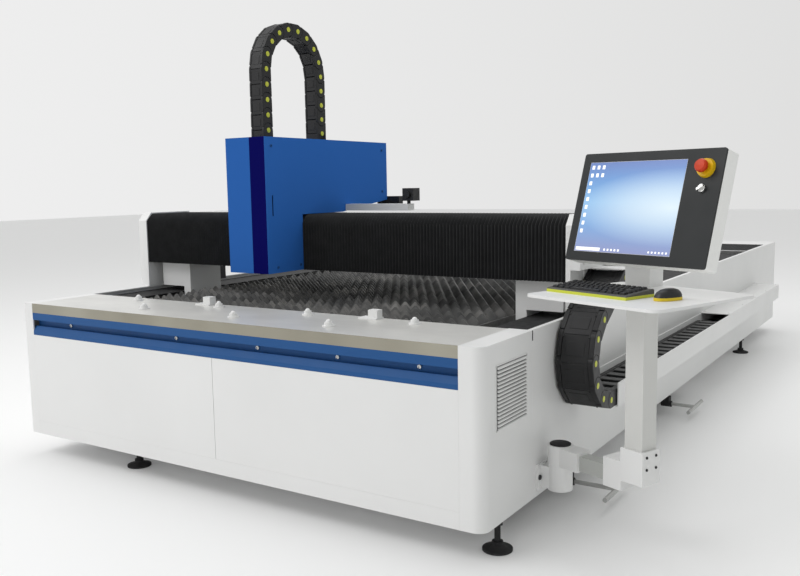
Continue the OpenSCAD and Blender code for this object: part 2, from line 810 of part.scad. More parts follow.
// Beam chain: lower run in the tray, a bend at the left and an upper run to the carriage
module beam_chain(x, z) translate([x, beam_chain_y + beam_chain_w / 2, z]) rotate([90, 0, 0]) children();
module beam_lower_run() color(black_plastic)
    beam_chain(beam_bend_x + beam_lower_n * beam_pitch, beam_chain_z)
        mirror([1, 0, 0]) straight_links(beam_lower_n, beam_pitch, beam_chain_h, beam_chain_w);
module beam_loop() color(black_plastic) beam_chain(beam_bend_x, beam_chain_z)
    mirror([1, 0, 0]) bend_links(beam_bend_n, beam_bend_n, beam_pitch, beam_chain_h, beam_chain_w, beam_chain_r);
module beam_upper_run() color(black_plastic) {
    beam_chain(beam_bend_x, beam_chain_z + 2 * beam_chain_r)
        straight_links(beam_upper_n, beam_pitch, beam_chain_h, beam_chain_w);
}

// Bracket that ties the side chain to the gantry: a plate behind the last link, a lid and a cheek
module chain_bracket() color(white_paint) {
    x1 = base_w + tray_w - 2;
    back_t = 8;
    lid_l = 90;
    y1 = chain_end_y + chain_h / 2 + seat_gap + back_t;
    low = chain_end_z - chain_h / 2;
    span([base_w, y1 - lid_l, bracket_top - bracket_t], [x1, y1, bracket_top]);
    span([base_w, y1 - lid_l, low], [base_w + bracket_t, y1, bracket_top]);
    span([base_w, y1 - back_t, low], [x1, y1, bracket_top]);
}

// Camera on the end of a bar beside the head cover, and the cable box behind the cover
module bed_camera() color(black_plastic) {
    y = beam_chain_y + 58;
    bar_l = 345;
    bar_w = 50;
    bar_z = bellows_top + 7;
    bar_h = 30;
    stem_h = 13;
    body = 56;
    box_z = cover_top - cover_rear_h;
    span([cover_x1, y - bar_w / 2, bar_z], [cover_x1 + bar_l, y + bar_w / 2, bar_z + bar_h]);
    translate([cover_x1 + bar_l - 12, y, bar_z + bar_h]) cylinder(r = 8, h = stem_h);
    translate([cover_x1 + bar_l, y, bar_z + bar_h + stem_h]) {
        translate([-body / 2, -body / 2, 0]) cube(body);
        translate([0, -body / 2, body / 2]) rotate([90, 0, 0]) cylinder(r = 15, h = 12);
    }
    span([cover_x1 - 60, cover_y1, box_z - 27], [cover_x1 + 70, cover_y1 + 36, box_z + 16]);
}

// Carriage: an angled plate over the beam's front and top, with blocks on the guide rails
module carriage_plate() color(dark_grey) {
    along_x(plate_x0, plate_x1) polygon([
        [plate_y, cover_z], [plate_y, plate_top - 30], [plate_y + 30, plate_top],
        [beam_back, plate_top], [beam_back, plate_top - 14], [plate_y + 36, plate_top - 14],
        [plate_y + plate_t, plate_top - 36], [plate_y + plate_t, cover_z]
    ]);
    span(
        [beam_bend_x + beam_upper_n * beam_pitch - 24, beam_back, plate_top - 4 + seat_gap],
        [cover_x1 - 20, beam_chain_y + beam_chain_w, plate_top]
    );
    for (z = guide_z)
        for (x = [cover_x + 15, cover_x1 - 95])
            difference() {
                span([x, plate_y + plate_t, z - 26], [x + 80, beam_front - 4, z + 26]);
                span(
                    [x - 1, beam_front - guide_d - 0.5, z - guide_w / 2 - 0.5],
                    [x + 81, beam_front, z + guide_w / 2 + 0.5]
                );
            }
}

// Sheet cover over the head and the carriage, open below the front column
module cover_outline(t) polygon([
    [cover_y + t, cover_z - (t > 0 ? 10 : 0)], [cover_y + t, cover_top - t],
    [cover_y1 - t, cover_top - t], [cover_y1 - t, cover_top - cover_rear_h + t],
    [plate_y + arm_flat_l, arm_under + t], [plate_y + (t > 0 ? 10 : 0), arm_under + t],
    [plate_y + (t > 0 ? 10 : 0), cover_z - (t > 0 ? 10 : 0)]
]);
module head_cover() color(blue_paint) difference() {
    along_x(cover_x, cover_x1) cover_outline(0);
    along_x(cover_x + cover_t, cover_x1 - cover_t) cover_outline(cover_t);
    translate([arch_x - arch_w / 2 - 8, arch_y - arch_r - arch_h / 2 - 14, cover_top - 2 * cover_t])
        cube([arch_w + 16, arch_h + 28, 4 * cover_t]);
    translate([cover_x1 - 2 * cover_t, cover_y + 36, 1040]) cube([4 * cover_t, 8, 86]);
}

// Closed linear actuator that lifts the head
module z_actuator() color(dark_grey) {
    half = 30;
    span([head_x - half, plate_y - 40, cover_z + 20], [head_x + half, plate_y, arm_under + 60]);
    translate([head_x, plate_y - 20, arm_under + 60]) cylinder(r = 27, h = 90);
}

// Arched chain between the head and the rear of the cover
module arch_chain() color(black_plastic) {
    translate([arch_x, arch_y - arch_r, arch_z - arch_front_n * arch_pitch]) rotate([90, 0, 90]) rotate([0, 0, 90])
        straight_links(arch_front_n, arch_pitch, arch_h, arch_w);
    translate([arch_x, arch_y - arch_r, arch_z]) rotate([0, 0, 180]) rotate([90, 0, 90]) rotate([0, 0, 90])
        bend_links(arch_bend_n, arch_bend_n, arch_pitch, arch_h, arch_w, arch_r);
    translate([arch_x, arch_y + arch_r, arch_z]) rotate([90, 0, 90]) rotate([0, 0, -90])
        straight_links(arch_rear_n, arch_pitch, arch_h, arch_w);
    span(
        [arch_x - arch_w / 2, arch_y + arch_r - arch_h / 2, cover_top],
        [arch_x + arch_w / 2, arch_y + arch_r + arch_h / 2, arch_z - arch_rear_n * arch_pitch]
    );
}

// Lifting plate with the arm that holds the arched chain
module z_slide() color(dark_grey) {
    back = plate_y - 40 - seat_gap;
    chain_end = arch_z - arch_front_n * arch_pitch + heel(arch_h) - seat_gap;
    span([head_x - 50, back - 16, cover_z + 90], [head_x + 50, back, arm_under + 40]);
    span([head_x - 50, back - 16, arm_under + 40], [head_x - 38, back, chain_end]);
    span([head_x - 50, arch_y - arch_r - arch_h / 2, chain_end - 12], [head_x + 60, back - 10, chain_end]);
}

// Cutting head: a collimator body, a lens barrel and a ceramic holder
module cutting_head() color(black_plastic) {
    back = plate_y - 56 - seat_gap;
    span([head_x - 34, head_y - 34, cover_z + 200], [head_x + 34, back, cover_z + 400]);
    translate([head_x, head_y, cover_z + 100]) cylinder(r = 30, h = 100);
    translate([head_x, head_y, cover_z + 60]) cylinder(r1 = 18, r2 = 30, h = 40);
    translate([head_x, head_y, cover_z + 400]) cylinder(r = 24, h = 60);
}

// Copper nozzle with its gas bore
module nozzle() color([0.72, 0.45, 0.20]) translate([head_x, head_y, cover_z + 6]) rotate_extrude() polygon([
    [1.5, 0], [4, 0], [14, 24], [14, 36], [18, 36], [18, 54], [6, 54], [6, 30]
]);

// Console pieces are drawn about the column: U along the arm, V to its left
module on_console() translate([drum_x, drum_y, 0]) rotate([0, 0, arm_angle]) translate([arm_l, 0, 0]) children();

// Arm: a drum with a thick root, a thinner tube, an end block and the sleeve of the column
module console_arm() color(white_paint) translate([drum_x, drum_y, 0]) difference() {
    root_l = 105;
    root_w = 66;
    tube_w = 46;
    block_l = 70;
    block_w = 76;
    block_h = 94;
    arm_end = arm_l - sleeve_w / 2;
    union() {
        translate([0, 0, arm_z]) cylinder(r = drum_r, h = drum_top - arm_z);
        rotate([0, 0, arm_angle]) {
            translate([0, -root_w / 2, arm_z + 1]) cube([root_l, root_w, drum_top - arm_z - 5]);
            translate([0, -tube_w / 2, arm_z + 6]) cube([arm_end, tube_w, arm_h - 8]);
            translate([arm_end - block_l, -block_w / 2, arm_z - 5]) cube([block_l, block_w, block_h]);
            translate([arm_end, -sleeve_w / 2, sleeve_z]) cube([sleeve_w, sleeve_w, sleeve_h]);
        }
    }
    translate([0, 0, arm_z - 1]) cylinder(r = 14.05, h = drum_top - arm_z - 10);
    rotate([0, 0, arm_angle]) translate([arm_l, 0, sleeve_z - 1]) linear_extrude(sleeve_h + 2)
        square(column_s + 2 * seat_gap, center = true);
}

module console_column() color(white_paint) on_console()
    translate([0, 0, column_z]) linear_extrude(desk_z - desk_t - column_z) difference() {
        square(column_s, center = true);
        square(column_s - 8, center = true);
    }

module console_shelf() color(white_paint) on_console()
    translate([desk_u0 + desk_w / 2, desk_v0 + desk_d / 2, desk_z - desk_t]) linear_extrude(desk_t)
        round_rect([desk_w, desk_d], desk_r);

// Post behind the monitor with the ears of its tilt hinge
module monitor_post() color(white_paint) on_console() {
    ear = 10;
    translate([post_u - post_w / 2, post_v, desk_z]) cube([post_w, post_d, hinge_z - desk_z + 30]);
    for (u = [-post_w / 2, post_w / 2 - ear])
        difference() {
            translate([post_u + u, hinge_v - hinge_r, hinge_z - 22]) cube([ear, post_v - hinge_v + 16, 44]);
            translate([post_u + u - 1, hinge_v, hinge_z]) rotate([0, 90, 0]) cylinder(r = 6.05, h = ear + 2);
        }
}

// Keyboard: a wedge-shaped base with rows of keys
module keyboard() color(black_plastic) on_console() translate([desk_u0 + 6, -92, desk_z]) {
    w = 318;
    d = 132;
    rotate([90, 0, 90]) linear_extrude(w) polygon([[0, 0], [d, 0], [d, 22], [d - 6, 24], [4, 13], [0, 9]]);
    for (row = [0:4])
        for (col = [0:14])
            translate([12 + col * 19.8, 12 + row * 22.6, 11 + row * 2.03])
                rotate([atan(11 / 122), 0, 0]) cube([16.6, 18.4, 8]);
}

// Mouse: a rounded shell on a flat base
module mouse() color(black_plastic) on_console() translate([86, 6, desk_z]) rotate([0, 0, -12]) hull() {
    for (v = [-22, 22])
        translate([0, v, 0]) cylinder(r = 25, h = 8, $fn = 32);
    translate([0, 5, 18]) resize([42, 74, 35]) sphere(18, $fn = 32);
}

// Monitor pieces are drawn about the tilt hinge: U across, V back, W up the leaning face
module on_monitor() on_console()
    translate([screen_u, hinge_v, hinge_z]) rotate([-monitor_tilt, 0, 0])
        translate([0, -pivot_back - monitor_d, 0]) children();

module monitor_case() color(dark_grey) on_monitor() {
    recess = 3;
    difference() {
        translate([monitor_w / 2 - screen_w / 2 - bezel_w, monitor_d / 2, 0]) rotate([90, 0, 0])
            linear_extrude(monitor_d, center = true) round_rect([monitor_w, monitor_h], 8);
        translate([-screen_w / 2, -1, -screen_h / 2]) cube([screen_w, recess + 1, screen_h]);
        translate([strip_u, -1, estop_w]) rotate([-90, 0, 0]) cylinder(r = estop_stem_r + seat_gap, h = 31);
        translate([strip_u, -1, selector_w]) rotate([-90, 0, 0]) cylinder(r = selector_stem_r + 0.05, h = 21);
    }
    translate([post_u - screen_u - hinge_w / 2, monitor_d, -hinge_r]) cube([hinge_w, pivot_back, 2 * hinge_r]);
    translate([post_u - screen_u, monitor_d + pivot_back, 0]) rotate([0, 90, 0]) cylinder(r = hinge_r, h = hinge_w, center = true);
    translate([post_u - screen_u, monitor_d + pivot_back, 0]) rotate([0, 90, 0])
        cylinder(r = 6, h = post_w - 2, center = true);
}

module monitor_screen() color([0.35, 0.60, 0.85]) on_monitor()
    translate([-screen_w / 2 + 0.5, 1, -screen_h / 2 + 0.5]) cube([screen_w - 1, 2, screen_h - 1]);

// Yellow collar round the stop button
module estop_ring() color([0.95, 0.75, 0.05]) on_monitor() translate([strip_u, 0, estop_w]) rotate([90, 0, 0])
    difference() {
        cylinder(r1 = 30, r2 = 27, h = 11);
        translate([0, 0, -1]) cylinder(r = estop_stem_r + seat_gap, h = 13);
    }
module estop_button() color([0.80, 0.10, 0.08]) on_monitor() translate([strip_u, 0, estop_w]) rotate([90, 0, 0])
    rotate_extrude() polygon([
        [0, -20], [estop_stem_r, -20], [estop_stem_r, 20], [17, 20], [20, 24], [20, 32], [16, 38], [0, 39]
    ]);
module selector_knob() color(steel) on_monitor() translate([strip_u, 0, selector_w]) rotate([90, 0, 0]) {
    translate([0, 0, -19]) cylinder(r = selector_stem_r, h = 19 + seat_gap);
    translate([0, 0, seat_gap]) cylinder(r = 12, h = 8);
    rotate([0, 0, 35]) translate([-11.5, -3.5, 8]) cube([23, 7, 10]);
}

// Shallow scrap pan with a T-handle through the gap under the skirt
module scrap_pan(y, reach) color(steel) {
    handle_x = base_w + reach;
    difference() {
        span([pan_x0, y, pan_z], [pan_x1, y + pan_w, pan_z + pan_h]);
        span([pan_x0 + pan_t, y + pan_t, pan_z + pan_t], [pan_x1 - pan_t, y + pan_w - pan_t, pan_z + pan_h + 1]);
    }
    translate([pan_x1, y + pan_w / 2, handle_z]) rotate([0, 90, 0]) cylinder(r = 8, h = handle_x - pan_x1);
    translate([handle_x, y + pan_w / 2 + handle_l / 2, handle_z]) rotate([90, 0, 0]) cylinder(r = 9, h = handle_l);
}
module scrap_pan_front() scrap_pan(pan_y[0], handle_reach[0]);
module scrap_pan_rear() scrap_pan(pan_y[1], handle_reach[1]);

on_machine() rail_beams();
on_machine() cross_members();
on_machine() side_skin_left();
on_machine() side_skin_right();
on_machine() rear_panel();
on_machine() front_end_cap();
on_machine() front_panels();
on_machine() front_plinth();
on_machine() front_channel();
on_machine() steel_shelf();
on_machine() ball_units();
on_machine() sheet_stops();
on_machine() louvre_vent();
on_machine() rail_covers();
on_machine() linear_rails();
on_machine() gear_racks();
on_machine() slat_supports();
on_machine() slats();
on_machine() chain_tray();
on_machine() tray_cover();
on_machine() chain_lower_run();
on_machine() levelling_feet();
on_machine() console_bracket();
on_machine() beam();
on_machine() beam_end_left();
on_machine() beam_end_right();
on_machine() gantry_feet();
on_machine() gantry_motors();
on_machine() beam_rails();
on_machine() bellows_left();
on_machine() bellows_right();
on_machine() beam_chain_tray();
on_machine() beam_lower_run();
on_machine() chain_bracket();
on_machine() chain_upper_run();
on_machine() bed_camera();
on_machine() chain_loop();
on_machine() carriage_plate();
on_machine() head_cover();
on_machine() z_actuator();
on_machine() arch_chain();
on_machine() beam_upper_run();
on_machine() beam_loop();
on_machine() z_slide();
on_machine() cutting_head();
on_machine() nozzle();
on_machine() console_arm();
on_machine() console_column();
on_machine() console_shelf();
on_machine() monitor_post();
on_machine() keyboard();
on_machine() mouse();
on_machine() monitor_case();
on_machine() monitor_screen();
on_machine() estop_ring();
on_machine() estop_button();
on_machine() selector_knob();
on_machine() scrap_pan_front();
on_machine() scrap_pan_rear();
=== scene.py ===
"""Looks of a gantry laser cutting table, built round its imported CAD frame."""
import math
from itertools import product
import bmesh
import bpy
from mathutils import Matrix, Vector


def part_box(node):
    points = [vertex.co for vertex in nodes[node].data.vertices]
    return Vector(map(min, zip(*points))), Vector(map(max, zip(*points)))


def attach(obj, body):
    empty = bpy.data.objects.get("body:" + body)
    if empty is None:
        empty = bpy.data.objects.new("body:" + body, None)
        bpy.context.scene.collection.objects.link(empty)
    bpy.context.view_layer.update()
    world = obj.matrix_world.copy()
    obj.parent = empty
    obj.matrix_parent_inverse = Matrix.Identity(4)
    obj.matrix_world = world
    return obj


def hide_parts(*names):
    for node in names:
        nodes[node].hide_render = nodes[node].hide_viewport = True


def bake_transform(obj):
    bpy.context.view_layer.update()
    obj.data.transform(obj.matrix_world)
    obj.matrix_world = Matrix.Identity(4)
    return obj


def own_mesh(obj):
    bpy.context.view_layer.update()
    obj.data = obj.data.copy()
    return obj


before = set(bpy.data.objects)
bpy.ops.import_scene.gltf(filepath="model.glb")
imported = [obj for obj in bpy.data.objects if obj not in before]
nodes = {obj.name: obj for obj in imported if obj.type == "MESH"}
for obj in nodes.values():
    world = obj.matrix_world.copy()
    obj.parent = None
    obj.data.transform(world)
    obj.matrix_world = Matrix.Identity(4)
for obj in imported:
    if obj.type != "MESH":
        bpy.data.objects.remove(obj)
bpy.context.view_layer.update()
MM = 0.001

# Sizes in millimetres on the machine's own axes: X from the outside of the left skin, Y from the
# front face, Z from the floor. U and V are X and Y turned with the console's arm.
BASE_W = 2250
TABLE_Z = 677
SKIRT_Z = 98
SEAT_GAP = 0.3
CHANNEL_TOP = TABLE_Z - 40
CHANNEL_BOTTOM = CHANNEL_TOP - 97
CAP_L = 352
GANTRY_Y = 685
BEAM_BACK = GANTRY_Y + 265
BEAM_Z = 798
BELLOWS_TOP = BEAM_Z + 241
BELLOWS_CHAMFER = 34
BELLOWS_T = 20
PLEAT_PITCH = 15
PLEAT_D = 10
BEAM_X0 = 18
BEAM_X1 = BASE_W - BEAM_X0
COVER_X = 797
COVER_X1 = COVER_X + 217
COVER_MID = (COVER_X + COVER_X1) / 2
COVER_Y = 458
COVER_Z = 800
COVER_TOP = 1367
STRIPE_X = 930
PLATE_X0 = COVER_X - 1
PLATE_X1 = COVER_X1 + 2
TRAY_W = 152
TRAY_T = 4
TRAY_TOP = 430
TRAY_Z = TRAY_TOP - 88
TRAY_END_Y = 4099
CHAIN_END_ROOM = 30
CHAIN_H = 62
CHAIN_W = 137
CHAIN_R = 163
CHAIN_HALF_N = 6
CHAIN_BEND_N = 5
CHAIN_PITCH = 2 * CHAIN_R * math.sin(math.pi / 2 / CHAIN_HALF_N)
CHAIN_CLIMB = math.pi - math.pi * CHAIN_BEND_N / CHAIN_HALF_N
CHAIN_X = BASE_W + TRAY_W / 2
CHAIN_Z = TRAY_Z + TRAY_T + SEAT_GAP + CHAIN_H / 2
CHAIN_BEND_Y = 718
CHAIN_FIXED_Y = 2583
CHAIN_LOWER_N = math.floor((CHAIN_FIXED_Y - CHAIN_END_ROOM - CHAIN_BEND_Y) / CHAIN_PITCH)
CHAIN_UPPER_N = 3
CLIMB_Y = CHAIN_BEND_Y - CHAIN_R * math.sin(CHAIN_CLIMB)
CLIMB_Z = CHAIN_Z + CHAIN_R * (1 + math.cos(CHAIN_CLIMB))
ARCH_H = 59
ARCH_W = 72
ARCH_R = 182
ARCH_BEND_N = 9
ARCH_PITCH = 2 * ARCH_R * math.sin(math.pi / 2 / ARCH_BEND_N)
ARCH_FRONT_N = 6
ARCH_REAR_N = 4
ARCH_X = COVER_MID + 15
ARCH_Y = COVER_Y + 277
ARCH_Z = 1651
BEAM_CHAIN_H = 26
BEAM_CHAIN_W = 70
BEAM_CHAIN_R = 58
BEAM_BEND_N = 6
BEAM_PITCH = 2 * BEAM_CHAIN_R * math.sin(math.pi / 2 / BEAM_BEND_N)
BEAM_BEND_X = COVER_X - 420
BEAM_CHAIN_Y = BEAM_BACK + 22 + BEAM_CHAIN_W / 2
BEAM_CHAIN_Z = BELLOWS_TOP - 7 - BEAM_CHAIN_H / 2 - 2 * BEAM_CHAIN_R
BEAM_LOWER_N = 24
BEAM_UPPER_N = math.floor((COVER_MID - CHAIN_END_ROOM - BEAM_BEND_X) / BEAM_PITCH)
DRUM_X = BASE_W + 66
DRUM_Y = 434
DRUM_TOP = 279
ARM_ANGLE = math.radians(-20.8)
ARM_L = 330
ARM_Z = 210 + SEAT_GAP
TUBE_U0 = 105.5
TUBE_U1 = 217.5
COLUMN_S = 66
SLEEVE_Z = ARM_Z + 30
DESK_Z = 811
CAMERA_BAR_TOP = BELLOWS_TOP + 37
CAMERA_BAR_LIMIT = BEAM_BACK + 150
LOUVRE_Y = (82, 301)
LOUVRE_Z = (403, 605)
LOUVRE_PLATE = 2
PAN_MID = {"scrap_pan_front": 715, "scrap_pan_rear": 2015}
ROD_X = BASE_W - 60
ROD_Z = SKIRT_Z - 48
KEYBOARD_U = -306
KEYBOARD_V = -92
KEYBOARD_W = 318
KEYBOARD_D = 132
KEYBOARD_BAND = 9
MOUSE_U = 86
MOUSE_V = 6
MOUSE_TURN = math.radians(-12)
MOUSE_BAND = 9.5
SCREEN_W = 380
SCREEN_H = 304
MONITOR_D = 62
BEZEL_T = 7
MONITOR_LEAN = math.radians(16)
PIVOT_BACK = 26
SCREEN_U = -150
SCREEN_V = 112
SCREEN_Z = 1077

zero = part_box("side_skin_left")[0]


def at(x, y, z):
    """A point on the machine's axes, in millimetres, as a point in the row frame."""
    return Vector((zero.x + x * MM, zero.y + y * MM, z * MM))


def axes(origin, xdir, ydir):
    """Matrix of a frame drawn in millimetres at a machine point, with its X and Y directions."""
    x, y = Vector(xdir).normalized(), Vector(ydir).normalized()
    turn = Matrix((x, y, x.cross(y))).transposed().to_4x4()
    return Matrix.Translation(at(*origin)) @ turn @ Matrix.Scale(MM, 4)


machine = Matrix.Translation(at(0, 0, 0)) @ Matrix.Scale(MM, 4)
console = (
    Matrix.Translation(at(DRUM_X, DRUM_Y, 0))
    @ Matrix.Rotation(ARM_ANGLE, 4, "Z")
    @ Matrix.Scale(MM, 4)
    @ Matrix.Translation((ARM_L, 0, 0))
)
hinge_reach = PIVOT_BACK + MONITOR_D
monitor = (
    console
    @ Matrix.Translation((
        SCREEN_U,
        SCREEN_V + hinge_reach * math.cos(MONITOR_LEAN),
        SCREEN_Z - hinge_reach * math.sin(MONITOR_LEAN),
    ))
    @ Matrix.Rotation(-MONITOR_LEAN, 4, "X")
    @ Matrix.Translation((0, -hinge_reach, 0))
)


def node(mat, kind, settings=None, inputs=None):
    """Adds a shader node; an input is a number, a vector or the socket that feeds it."""
    made = mat.node_tree.nodes.new(kind)
    for key, value in (settings or {}).items():
        setattr(made, key, value)
    for key, value in (inputs or {}).items():
        if isinstance(value, bpy.types.NodeSocket):
            mat.node_tree.links.new(value, made.inputs[key])
        else:
            made.inputs[key].default_value = value
    return made


def feed(mat, socket, value):
    """Links a pattern to one of the surface shader's sockets."""
    mat.node_tree.links.new(value, mat.node_tree.nodes["Principled BSDF"].inputs[socket])


SOCKETS = {
    "specular_ior_level": "Specular IOR Level", "sheen_weight": "Sheen Weight",
    "sheen_roughness": "Sheen Roughness", "emission_strength": "Emission Strength",
}


def surface(name, color, rough, metal=0.0, **sockets):
    """A new material with its uniform values set on the shader itself."""
    mat = bpy.data.materials.new(name)
    mat.use_nodes = True
    mat.diffuse_color = (*color, 1)
    shader = mat.node_tree.nodes["Principled BSDF"]
    shader.inputs["Base Color"].default_value = (*color, 1)
    shader.inputs["Roughness"].default_value = rough
    shader.inputs["Metallic"].default_value = metal
    for key, value in sockets.items():
        shader.inputs[SOCKETS[key]].default_value = value
    return mat


def coords(mat, scale=(1, 1, 1)):
    """Object coordinates in metres, stretched by a scale on each axis."""
    place = node(mat, "ShaderNodeTexCoord").outputs["Object"]
    return node(mat, "ShaderNodeMapping", None, {"Vector": place, "Scale": scale}).outputs["Vector"]


def speckle(mat, scale, stretch=(1, 1, 1), detail=3.0):
    """Noise of a given number of waves per metre."""
    inputs = {"Vector": coords(mat, stretch), "Scale": scale, "Detail": detail}
    return node(mat, "ShaderNodeTexNoise", None, inputs).outputs["Fac"]


def ramp(mat, fac, stops):
    """Colours at places between 0 and 1."""
    made = node(mat, "ShaderNodeValToRGB", None, {"Fac": fac})
    line = made.color_ramp.elements
    while len(line) < len(stops):
        line.new(0.5)
    for element, (place, color) in zip(line, stops):
        element.position = place
        element.color = (*color, 1)
    return made.outputs["Color"]


def shade(color, factor):
    """A colour made lighter or darker."""
    return tuple(min(1.0, channel * factor) for channel in color)


NOISE_LOW = 0.3
NOISE_HIGH = 0.7


def vary(mat, fac, color, spread):
    """Base colour that wanders a little to both sides of a colour."""
    stops = [(NOISE_LOW, shade(color, 1 - spread)), (NOISE_HIGH, shade(color, 1 + spread))]
    feed(mat, "Base Color", ramp(mat, fac, stops))


def rescale(mat, value, low, high, to_low=0.0, to_high=1.0):
    """Maps a range of values to another one, and holds it at the ends."""
    inputs = {
        "Value": value, "From Min": low, "From Max": high, "To Min": to_low, "To Max": to_high,
    }
    return node(mat, "ShaderNodeMapRange", None, inputs).outputs["Result"]


def rough_between(mat, fac, low, high):
    """Roughness that wanders between two values."""
    feed(mat, "Roughness", rescale(mat, fac, NOISE_LOW, NOISE_HIGH, low, high))


def bump(mat, height, strength, distance):
    """Fine relief in the shading alone."""
    inputs = {"Height": height, "Strength": strength, "Distance": distance}
    feed(mat, "Normal", node(mat, "ShaderNodeBump", None, inputs).outputs["Normal"])


def along(mat, direction):
    """Distance of a point along a direction in the row frame, in metres."""
    place = node(mat, "ShaderNodeTexCoord").outputs["Object"]
    dot = node(mat, "ShaderNodeVectorMath", {"operation": "DOT_PRODUCT"})
    mat.node_tree.links.new(place, dot.inputs[0])
    dot.inputs[1].default_value = direction
    return dot.outputs["Value"]


def compare(mat, value, operation, limit):
    """1 where a value passes a limit, else 0."""
    made = node(mat, "ShaderNodeMath", {"operation": operation})
    mat.node_tree.links.new(value, made.inputs[0])
    made.inputs[1].default_value = limit
    return made.outputs["Value"]


def both(mat, a, b):
    """Product of two values."""
    made = node(mat, "ShaderNodeMath", {"operation": "MULTIPLY"})
    mat.node_tree.links.new(a, made.inputs[0])
    mat.node_tree.links.new(b, made.inputs[1])
    return made.outputs["Value"]


def choose(mat, fac, first, second):
    """first where fac is 0 and second where it is 1; each is a colour or a socket."""
    made = node(mat, "ShaderNodeMix", {"data_type": "RGBA"})
    mat.node_tree.links.new(fac, made.inputs[0])
    for slot, value in ((6, first), (7, second)):
        if isinstance(value, bpy.types.NodeSocket):
            mat.node_tree.links.new(value, made.inputs[slot])
        else:
            made.inputs[slot].default_value = (*value, 1)
    return made.outputs[2]


def between(mat, value, low, high):
    """1 where a value lies between two limits, else 0."""
    return both(mat, compare(mat, value, "GREATER_THAN", low), compare(mat, value, "LESS_THAN", high))


def recolour(mat, fac, color):
    """Gives a material another base colour where fac is 1."""
    base = mat.node_tree.nodes["Principled BSDF"].inputs["Base Color"]
    feed(mat, "Base Color", choose(mat, fac, base.links[0].from_socket, color))


def powder_coat(name, color, rough=0.42, spread=0.02, gloss=0.5):
    """Sprayed paint: faint clouding, an uneven gloss and a fine orange peel."""
    mat = surface(name, color, rough, specular_ior_level=gloss)
    vary(mat, speckle(mat, 1.7), color, spread)
    rough_between(mat, speckle(mat, 9.0), rough - 0.06, rough + 0.06)
    bump(mat, speckle(mat, 520.0, detail=1.0), 0.05, 0.0006)
    return mat


def moulded(name, color, rough=0.5, grain=900.0, strength=0.12, gloss=0.5):
    """Moulded plastic with a fine spark-eroded grain."""
    mat = surface(name, color, rough, specular_ior_level=gloss)
    vary(mat, speckle(mat, 24.0), color, 0.12)
    rough_between(mat, speckle(mat, 40.0), rough - 0.05, rough + 0.08)
    bump(mat, speckle(mat, grain, detail=2.0), strength, 0.0004)
    return mat


def brushed(name, color, rough, stretch, metal=1.0, spread=0.06):
    """Bare metal with a fine grain that a factor stretches on each axis."""
    mat = surface(name, color, rough, metal)
    grain = speckle(mat, 60.0, stretch, 4.0)
    vary(mat, speckle(mat, 3.0, (1.0, 1.6, 1.0)), color, spread)
    rough_between(mat, grain, rough - 0.07, rough + 0.09)
    bump(mat, grain, 0.10, 0.0003)
    return mat


WHITE = (0.79, 0.79, 0.785)
BLUE = (0.018, 0.088, 0.26)
COVER_BLUE = (0.024, 0.115, 0.40)
NAVY = (0.001, 0.001, 0.085)
BLACK = (0.011, 0.011, 0.012)
INK = (0.014, 0.014, 0.015)
LIME = (0.62, 0.66, 0.05)
CLOTH = (0.009, 0.0095, 0.0105)

white = powder_coat("white_powder_coat", WHITE)
pale = powder_coat("pale_grey_coat", (0.64, 0.64, 0.62))
blue = powder_coat("blue_powder_coat", BLUE, 0.5, gloss=0.2)
dark = powder_coat("dark_grey_coat", (0.040, 0.040, 0.046), 0.5, 0.06)
black_metal = powder_coat("black_coat", (0.018, 0.018, 0.020), 0.5, 0.08)
plastic = moulded("chain_plastic", BLACK, 0.44, gloss=0.4)
bar_plastic = moulded("chain_bar_plastic", (0.045, 0.045, 0.046), 0.44)
rubber = moulded("matt_rubber", (0.010, 0.010, 0.011), 0.72, 600.0, 0.2)
lime = moulded("lime_plastic", LIME, 0.4)
red = moulded("red_plastic", (0.60, 0.045, 0.006), 0.34, 700.0, 0.03, 0.3)
yellow = moulded("yellow_plastic", (0.78, 0.48, 0.006), 0.36, 700.0, 0.03, 0.3)
ground = brushed("ground_steel", (0.56, 0.56, 0.55), 0.34, (7.0, 0.4, 7.0))
turned = brushed("turned_steel", (0.66, 0.66, 0.65), 0.26, (5.0, 5.0, 5.0))
copper = brushed("turned_copper", (0.60, 0.30, 0.14), 0.30, (6.0, 6.0, 1.0))


def burnt_steel():
    """Slat steel: dark mill scale with paler stains and spatter."""
    mat = surface("burnt_slat_steel", (0.10, 0.10, 0.10), 0.6, 0.3)
    stain = speckle(mat, 7.0, detail=6.0)
    stops = [
        (0.30, (0.070, 0.070, 0.070)), (0.50, (0.165, 0.165, 0.162)),
        (0.64, (0.27, 0.263, 0.253)), (0.78, (0.40, 0.394, 0.38)),
    ]
    feed(mat, "Base Color", ramp(mat, stain, stops))
    rough_between(mat, speckle(mat, 60.0), 0.48, 0.75)
    bump(mat, speckle(mat, 260.0, detail=4.0), 0.35, 0.0008)
    return mat


def bellows_cloth():
    """Coated cloth: a fine weave under a matt black coat."""
    mat = surface(
        "bellows_cloth", CLOTH, 0.7, specular_ior_level=0.3, sheen_weight=0.08, sheen_roughness=0.5,
    )
    vary(mat, speckle(mat, 14.0), CLOTH, 0.25)
    rough_between(mat, speckle(mat, 30.0), 0.62, 0.8)
    waves = [
        node(
            mat, "ShaderNodeTexWave", {"bands_direction": direction},
            {"Vector": coords(mat), "Scale": 260.0, "Distortion": 0.4},
        ).outputs["Fac"]
        for direction in ("X", "Z")
    ]
    bump(mat, both(mat, *waves), 0.25, 0.0004)
    return mat


